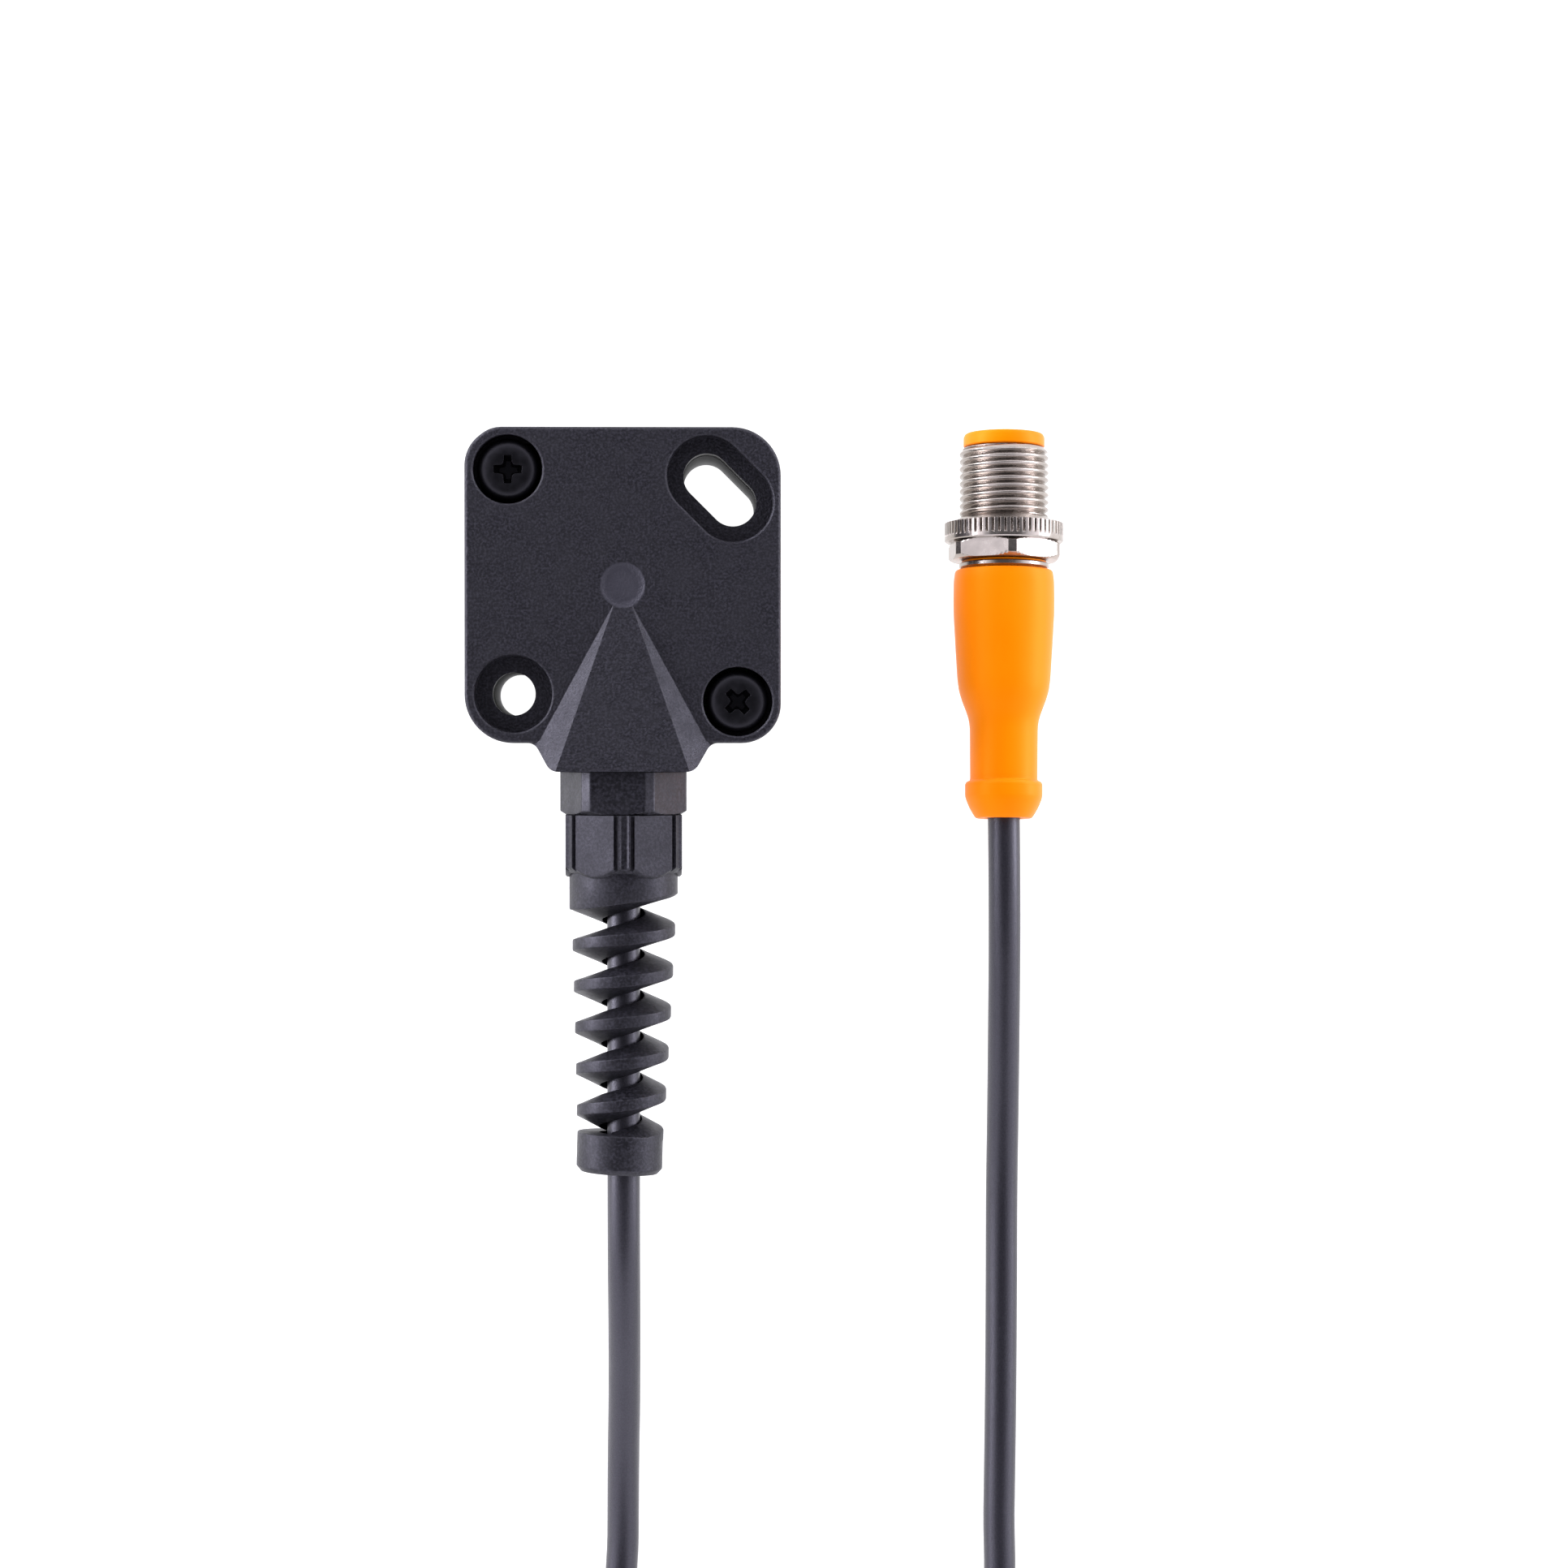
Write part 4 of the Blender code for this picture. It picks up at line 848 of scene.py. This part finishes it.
def phillips_cross():
    """The outline of a cross recess, flared where its arms meet."""
    arm = (
        (CROSS_REACH, -CROSS_HALF, 0.12 * MM),
        (CROSS_REACH, CROSS_HALF, 0.12 * MM),
        (CROSS_FLARE, CROSS_FLARE, 0.45 * MM),
    )
    corners = []
    for quarter in range(4):
        turn = quarter * pi / 2
        for x, y, radius in arm:
            corners.append((x * cos(turn) - y * sin(turn), x * sin(turn) + y * cos(turn), radius))
    return rounded_outline(corners, steps=5)


def make_optics(looks):
    low, high = (Vector(corner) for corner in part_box("front_window"))
    window = box(high - low, (low + high) / 2, 0.25 * MM)
    add("window_pane", window, looks["window"], ["front_window"])
    for name in ("emitter_lens", "receiver_lens"):
        low, high = (Vector(corner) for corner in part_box(name))
        radius = (high.y - low.y) / 2
        rim = 0.8 * MM
        rise = high.x - low.x - rim
        sections = [(0, radius - 0.1 * MM), (0.1 * MM, radius), (rim, radius)]
        for step in range(1, 16):
            angle = pi / 2 * step / 16
            sections.append((rim + rise * sin(angle), radius * cos(angle)))
        place = Matrix.Translation((high.x, (low.y + high.y) / 2, (low.z + high.z) / 2))
        outwards = Matrix.Rotation(pi / 2, 4, "Z")
        add(name + "_fine", barrel(sections), looks["lens"], [name], matrix=place @ outwards)


# Gland, spiral and cable -------------------------------------------------------------------------

HEX_FLAT = 7.5 * MM
HEX_CORNER = 8.27 * MM
GLAND_TILT = radians(5.2)
GLAND_HEX = (NECK_END - 0.05 * MM, -29.78 * MM)
GLAND_START = -17 * MM
GLAND_THREAD = 5.9 * MM
GLAND_END = -36 * MM
GLAND_STEM = 5.6 * MM
GLAND_BORE = 3 * MM
GLAND_SEAL_SEAT = (-30.5 * MM, 4.2 * MM)
NUT = (-29.86 * MM, -37.4 * MM)
NUT_FLAT = 7.6 * MM
NUT_RIB = 8.3 * MM
NUT_GROOVE = 7.7 * MM
NUT_SLOPE = 1.3
COLLAR_RADIUS = 7.1 * MM
COLLAR_END = -39.95 * MM
COLLAR_SLANT_START = -38 * MM
SPIRAL_BORE = 2.7 * MM
PITCH = 5.4 * MM
NUT_TURN = radians(1.5)
# Around the rim from a corner of the cap nut: where a step ends, and its radius. The panel comes next.
NUT_PANEL_START = 1.3 * MM
NUT_STEPS = (
    (0.48 * MM, NUT_RIB - 0.22 * MM),
    (0.58 * MM, NUT_RIB - 0.1 * MM),
    (0.9 * MM, NUT_RIB),
    (NUT_PANEL_START, NUT_GROOVE),
)
SCALLOP = 0.6 * MM
STRAND_START = -39.2 * MM
STRAND_TURNS = 6.3
STRAND_LEAN = 0.048
STRAND_SAG = 0.6 * MM
STRAND_RADII = (7.0 * MM, 5.6 * MM)
STRAND_BORE = 2.8 * MM
STRAND_OUTER = 1.5 * MM
STRAND_INNER = 3.9 * MM
STRAND_SOFT = 0.18 * MM
STRAND_STEPS = 72
END_COLLAR_RADIUS = 5.62 * MM
END_COLLAR = (-71.6 * MM, SPIRAL_LOW.y)


def make_gland(look):
    start, end = GLAND_HEX
    plain = hexagon(HEX_FLAT, HEX_CORNER, tau / 12)
    turned = hexagon(HEX_FLAT, HEX_CORNER, tau / 12, cone=(end, HEX_FLAT + 0.1 * MM, 1.6))
    body = [(GLAND_START, GLAND_THREAD - 0.5 * MM), (GLAND_START - 0.5 * MM, GLAND_THREAD)]
    body += [(start, GLAND_THREAD), (start, HEX_FLAT - 0.3 * MM)]
    body += [(start - 0.02 * MM, plain), (end + 0.6 * MM, plain)]
    body += [(end + 0.6 * MM * (1 - step / 6), turned) for step in range(1, 7)]
    body += [(end, GLAND_STEM), (GLAND_END, GLAND_STEM)]
    seat, seat_radius = GLAND_SEAL_SEAT
    bore = ((GLAND_START, GLAND_BORE), (seat, GLAND_BORE), (seat, seat_radius), (GLAND_END, seat_radius))
    place = GLAND_AXIS @ Matrix.Rotation(-GLAND_TILT, 4, "Y")
    piece = barrel(body, bore, sides=FINE_SIDES)
    add("gland_hexagon", piece, look, ["gland_body"], matrix=place)


def nut_side(angle, station):
    """The cap nut's radius: flat panels, with a channelled rib between two grooves at each corner."""
    sector = tau / 6
    from_corner = abs((angle - NUT_TURN + sector / 2) % sector - sector / 2)
    across = from_corner * NUT_RIB
    for step_end, reach in NUT_STEPS:
        if across < step_end:
            break
    else:
        reach = min(NUT_FLAT / cos(sector / 2 - from_corner), NUT_RIB)
    return min(reach, COLLAR_RADIUS + 0.25 * MM + (station - NUT[1]) * NUT_SLOPE)


def scallop(bm):
    """Draws the lower edge of each of the cap nut's panels down in an arc."""
    start, end = NUT
    sector = tau / 6
    for vertex in bm.verts:
        x, y, z = vertex.co
        if hypot(x, z) < COLLAR_RADIUS - 0.2 * MM:
            continue
        from_middle = abs((atan2(x, z) - NUT_TURN) % sector - sector / 2)
        arc = max(0, 1 - (from_middle / (sector / 2 - NUT_PANEL_START / NUT_RIB)) ** 2)
        near = min((start - y) / (start - end), 1 - (end - y) / (2 * MM))
        vertex.co.y -= SCALLOP * arc * min(1, max(0, near))
    return bm


def strand():
    """The spiral: a right-handed band, thicker at its root than at its rim."""
    rings = []
    soft = STRAND_SOFT
    steps = round(STRAND_TURNS * STRAND_STEPS)
    for step in range(steps + 1):
        angle = pi / 2 - tau * step / STRAND_STEPS
        station = STRAND_START - PITCH * step / STRAND_STEPS
        outer = STRAND_RADII[0] + (STRAND_RADII[1] - STRAND_RADII[0]) * step / steps
        half = STRAND_OUTER / 2
        root = STRAND_INNER / 2
        profile = (
            (STRAND_BORE, root),
            (STRAND_BORE + soft, root - soft / 4),
            (outer - 2 * soft, half + soft / 2),
            (outer - soft / 3, half - soft / 4),
            (outer, half - soft),
        )
        ring = [(radius, reach) for radius, reach in profile]
        ring += [(radius, -reach) for radius, reach in reversed(profile)]
        rings.append(
            [(radius * sin(angle), station + reach, radius * cos(angle)) for radius, reach in ring]
        )
    return lean(skin(rings))


def slant(bm):
    """Draws the collar's end down along the spiral, furthest on the left."""
    for vertex in bm.verts:
        share = (COLLAR_SLANT_START - vertex.co.y) / (COLLAR_SLANT_START - COLLAR_END)
        if share > 0:
            sideways = vertex.co.x / COLLAR_RADIUS
            vertex.co.y -= share * (PITCH / 4 * (1 - sideways) + STRAND_LEAN * vertex.co.x)
    return bm


def lean(bm):
    """Hangs the right side of the spiral below its left, and lets it sag to the left."""
    for vertex in bm.verts:
        share = (STRAND_START - vertex.co.y) / (STRAND_START - END_COLLAR[1])
        vertex.co.y -= STRAND_LEAN * vertex.co.x
        vertex.co.x -= STRAND_SAG * min(1, max(0, share)) ** 2
    return bm


def make_spiral(look):
    start, end = NUT
    nut = [(start, NUT_FLAT - 0.1 * MM), (start - 0.02 * MM, nut_side)]
    nut += [(end + 0.9 * MM * (1 - step / 9), nut_side) for step in range(10)]
    nut += [(end, COLLAR_RADIUS), (COLLAR_SLANT_START, COLLAR_RADIUS)]
    nut += [(COLLAR_END + 0.1 * MM, COLLAR_RADIUS), (COLLAR_END, COLLAR_RADIUS - 0.1 * MM)]
    bore = [(start, 5.8 * MM), (-36.3 * MM, 5.8 * MM), (-36.8 * MM, SPIRAL_BORE)]
    bore += [(COLLAR_SLANT_START, SPIRAL_BORE), (COLLAR_END, SPIRAL_BORE)]
    body = scallop(slant(barrel(nut, bore, sides=FINE_SIDES)))
    piece = add("spiral_gland_nut", body, look, ["spiral_nut"], matrix=GLAND_AXIS)
    top, bottom = END_COLLAR
    collar = [(top, END_COLLAR_RADIUS - 0.1 * MM), (top - 0.1 * MM, END_COLLAR_RADIUS)]
    for rise, narrowing in ((0.75, 0), (0.65, 0.03), (0.1, 0.5), (0, 0.6)):
        collar.append((bottom + rise * MM, END_COLLAR_RADIUS - narrowing * MM))
    collar_bore = [(station, SPIRAL_BORE) for station in END_COLLAR]
    end_collar = lean(barrel(collar, collar_bore))
    combine(piece, [("UNION", end_collar, GLAND_AXIS), ("UNION", strand(), GLAND_AXIS)])


def make_cable(look):
    curve = bpy.data.curves.new("pigtail_cable", "CURVE")
    curve.dimensions = "3D"
    curve.bevel_depth = CABLE_RADIUS
    curve.bevel_resolution = 8
    curve.use_fill_caps = True
    spline = curve.splines.new("POLY")
    route = smooth_route(CABLE_ROUTE, CABLE_RADIUS)
    spline.points.add(len(route) - 1)
    for point, place in zip(spline.points, route):
        point.co = (*place, 1)
    spline.use_smooth = True
    curve.materials.append(look)
    cable = bpy.data.objects.new("pigtail_cable", curve)
    scene.collection.objects.link(cable)
    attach(cable, BODY)
    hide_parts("cable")
    inner = barrel(((CABLE_LOW.y, CABLE_RADIUS), (CABLE_HIGH.y, CABLE_RADIUS)), sides=64)
    add("gland_cable", inner, look, ["cable_inner"], matrix=GLAND_AXIS)


# Plug --------------------------------------------------------------------------------------------

THREAD_CREST = 5.97 * MM
THREAD_DEPTH = 0.6 * MM
THREAD_CHAMFER = 0.55 * MM
THREAD_PITCH = 1 * MM
THREAD_STEPS = 24
THREAD_FRONT = -1.95 * MM
THREAD_END = -11.1 * MM
KNURL_END = -14.6 * MM
KNURL_TEETH = 60
KNURL_DEPTH = 0.5 * MM
HEX_END = -17.1 * MM
PLUG_HEX_FLAT = 7 * MM
PLUG_HEX_CORNER = 7.78 * MM
PLUG_HEX_TURN = radians(4)
COUPLING_BORE = 4.95 * MM
PINS = 4
PIN_RADIUS = 0.5 * MM
PIN_CIRCLE = 2.83 * MM
PIN_END = -14 * MM
PIN_NOSE_START = -2.3 * MM
PIN_NOSE = 0.7 * MM
# (station, radius) in millimetres, on the plug's axis
RETAINER_PROFILE = ((-17.5, 4.95), (-17.5, 5.9), (-17.6, 6.0), (-18.0, 6.0), (-18.3, 5.75), (-18.3, 4.95))
GRIP_PROFILE = (
    (-24.2, 4.95), (-18.4, 4.95), (-18.4, 6.35), (-18.6, 6.55), (-19.7, 6.72), (-22.15, 6.76),
    (-24.25, 6.74), (-28.55, 6.5), (-33.05, 6.22), (-34.55, 6.02), (-35.95, 5.6), (-37.45, 5.02),
    (-38.45, 4.7), (-39.55, 4.55), (-41.65, 4.53), (-46.35, 4.5), (-46.6, 4.55), (-46.8, 5.0),
    (-47.1, 5.17), (-48.65, 5.17), (-49.15, 5.05), (-50.15, 4.65), (-51.05, 4.15), (-51.55, 3.8),
    (-51.65, 3.6), (-51.65, 2.3), (-49.65, 2.3),
)
CARRIER_PROFILE = (
    (-24, 4.75), (-17.45, 4.75), (-17.45, 5.6), (-17.4, 5.65), (-17.2, 5.65), (-17.2, 4.75),
    (-1.8, 4.75), (-1.8, 5.3), (-1.65, 5.43), (-0.5, 5.43), (-0.12, 5.25),
    (0, 5.05), (0, 4.4), (-0.25, 4.2), (-8, 4.2),
)


def plug_thread(angle, station):
    """A right-handed thread that begins with a chamfer."""
    wave = 1 - abs(sin(pi * (station / THREAD_PITCH - angle / tau)))
    front = (THREAD_FRONT - station) * 0.9
    return min(THREAD_CREST - THREAD_DEPTH * wave, THREAD_CREST - THREAD_CHAMFER + front)


def knurl(depth):
    """Straight grooves cut into a smooth rim: depth is how deep they are at a station."""

    def radius(angle, _station):
        land = min(1, max(0, 2.4 * abs(cos(angle * KNURL_TEETH / 2)) - 0.25))
        return KNURL_RADIUS - depth * (1 - land)

    return radius


def make_coupling_nut(look):
    sections = []
    steps = round((THREAD_FRONT - THREAD_END) / THREAD_PITCH * THREAD_STEPS)
    for step in range(steps + 1):
        sections.append((THREAD_FRONT + (THREAD_END - THREAD_FRONT) * step / steps, plug_thread))
    sections += [(THREAD_END - 0.1 * MM, 5.75 * MM), (KNURL_FRONT + 0.15 * MM, 6.6 * MM)]
    sections += [(KNURL_FRONT, 6.75 * MM), (KNURL_FRONT, 7.4 * MM)]
    sections += [(KNURL_FRONT - 0.12 * MM, knurl(KNURL_DEPTH)), (KNURL_END + 0.95 * MM, knurl(KNURL_DEPTH))]
    sections += [(KNURL_END + 0.75 * MM, knurl(KNURL_DEPTH / 2)), (KNURL_END + 0.6 * MM, knurl(0))]
    sections += [(KNURL_END + 0.15 * MM, knurl(0)), (KNURL_END, KNURL_RADIUS - 0.15 * MM)]
    sections.append((KNURL_END, 7.2 * MM))
    middle = (KNURL_END + HEX_END) / 2
    for start, end in ((KNURL_END, middle), (HEX_END, middle)):
        turned = hexagon(PLUG_HEX_FLAT, PLUG_HEX_CORNER, PLUG_HEX_TURN, cone=(start, 7.1 * MM, 1.7))
        side = [(start + (end - start) * (step / 8) ** 1.5, turned) for step in range(9)]
        sections += side if start == KNURL_END else side[-2::-1]
    sections.append((HEX_END, 6.6 * MM))
    bore = [(THREAD_FRONT, COUPLING_BORE), (HEX_END, COUPLING_BORE)]
    nut = barrel(sections, bore, sides=2 * FINE_SIDES)
    return add("coupling_nut_fine", nut, look, ["coupling_nut"], body=NUT_BODY, matrix=PLUG_AXIS)


def scaled(profile):
    """A profile in metres."""
    return [(station * MM, radius * MM) for station, radius in profile]


def make_pin(number, look):
    """A contact pin with a rounded tip, on the circle of the pins."""
    angle = tau * number / PINS
    pin = [(PIN_END, PIN_RADIUS), (PIN_NOSE_START, PIN_RADIUS)]
    for turn in (0.3, 0.7, 1.1, 1.4):
        pin.append((PIN_NOSE_START + PIN_NOSE * sin(turn), PIN_RADIUS * cos(turn)))
    place = PLUG_AXIS @ Matrix.Translation((PIN_CIRCLE * sin(angle), 0, PIN_CIRCLE * cos(angle)))
    name = f"contact_pin_{number + 1}"
    return add(name + "_fine", barrel(pin, sides=32), look, [name], matrix=place)


def make_plug(looks):
    ring = skin([around(station, radius) for station, radius in scaled(RETAINER_PROFILE)], closed=True)
    grip = barrel(rounded(scaled(GRIP_PROFILE), 0.5 * MM))
    insert = barrel(scaled(CARRIER_PROFILE))
    nickel, orange = looks["nickel"], looks["orange"]
    return [
        add("retaining_ring_fine", ring, nickel, ["retaining_ring"], matrix=PLUG_AXIS),
        add("plug_grip", grip, orange, ["plug_body"], matrix=PLUG_AXIS),
        add("contact_insert", insert, orange, ["contact_carrier"], matrix=PLUG_AXIS),
        *(make_pin(number, looks["gold"]) for number in range(PINS)),
        make_coupling_nut(nickel),
    ]


# Carried-over CAD nodes --------------------------------------------------------------------------

CARRIED = {
    "perimeter_gasket": "rubber",
    "gland_o_ring": "rubber",
    "gland_seal_insert": "rubber",
    "threaded_column_1": "brass",
    "threaded_column_2": "brass",
    "optics_holder": "dark",
    "light_guide": "lens",
    "optics_board": "board",
    "emitter_led": "led",
    "receiver_photodiode": "chip",
    "indicator_led": "led",
    "main_board": "board",
    "terminal_block": "chip",
    "processor_chip": "chip",
    "regulator_chip": "chip",
    "filter_capacitor": "steel",
    "core_brown": "brown",
    "core_white": "white",
    "core_blue": "blue",
    "core_black": "black",
}


def dress_carried_nodes(looks):
    for node, look in CARRIED.items():
        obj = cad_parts[node]
        for slot in obj.material_slots:
            slot.material = looks[look]
        if not obj.material_slots:
            obj.data.materials.append(looks[look])


def main():
    scene.view_settings.view_transform = "Standard"
    make_camera()
    make_stage()
    looks = make_looks()
    plug_pieces = make_plug(looks)
    make_cable(looks["cable"])
    make_housing(looks["housing"])
    make_base_cover(looks["housing"])
    make_sleeves(looks)
    make_screws(looks["screw"])
    make_optics(looks)
    make_gland(looks["gland"])
    make_spiral(looks["spiral"])
    dress_carried_nodes(looks)


main()
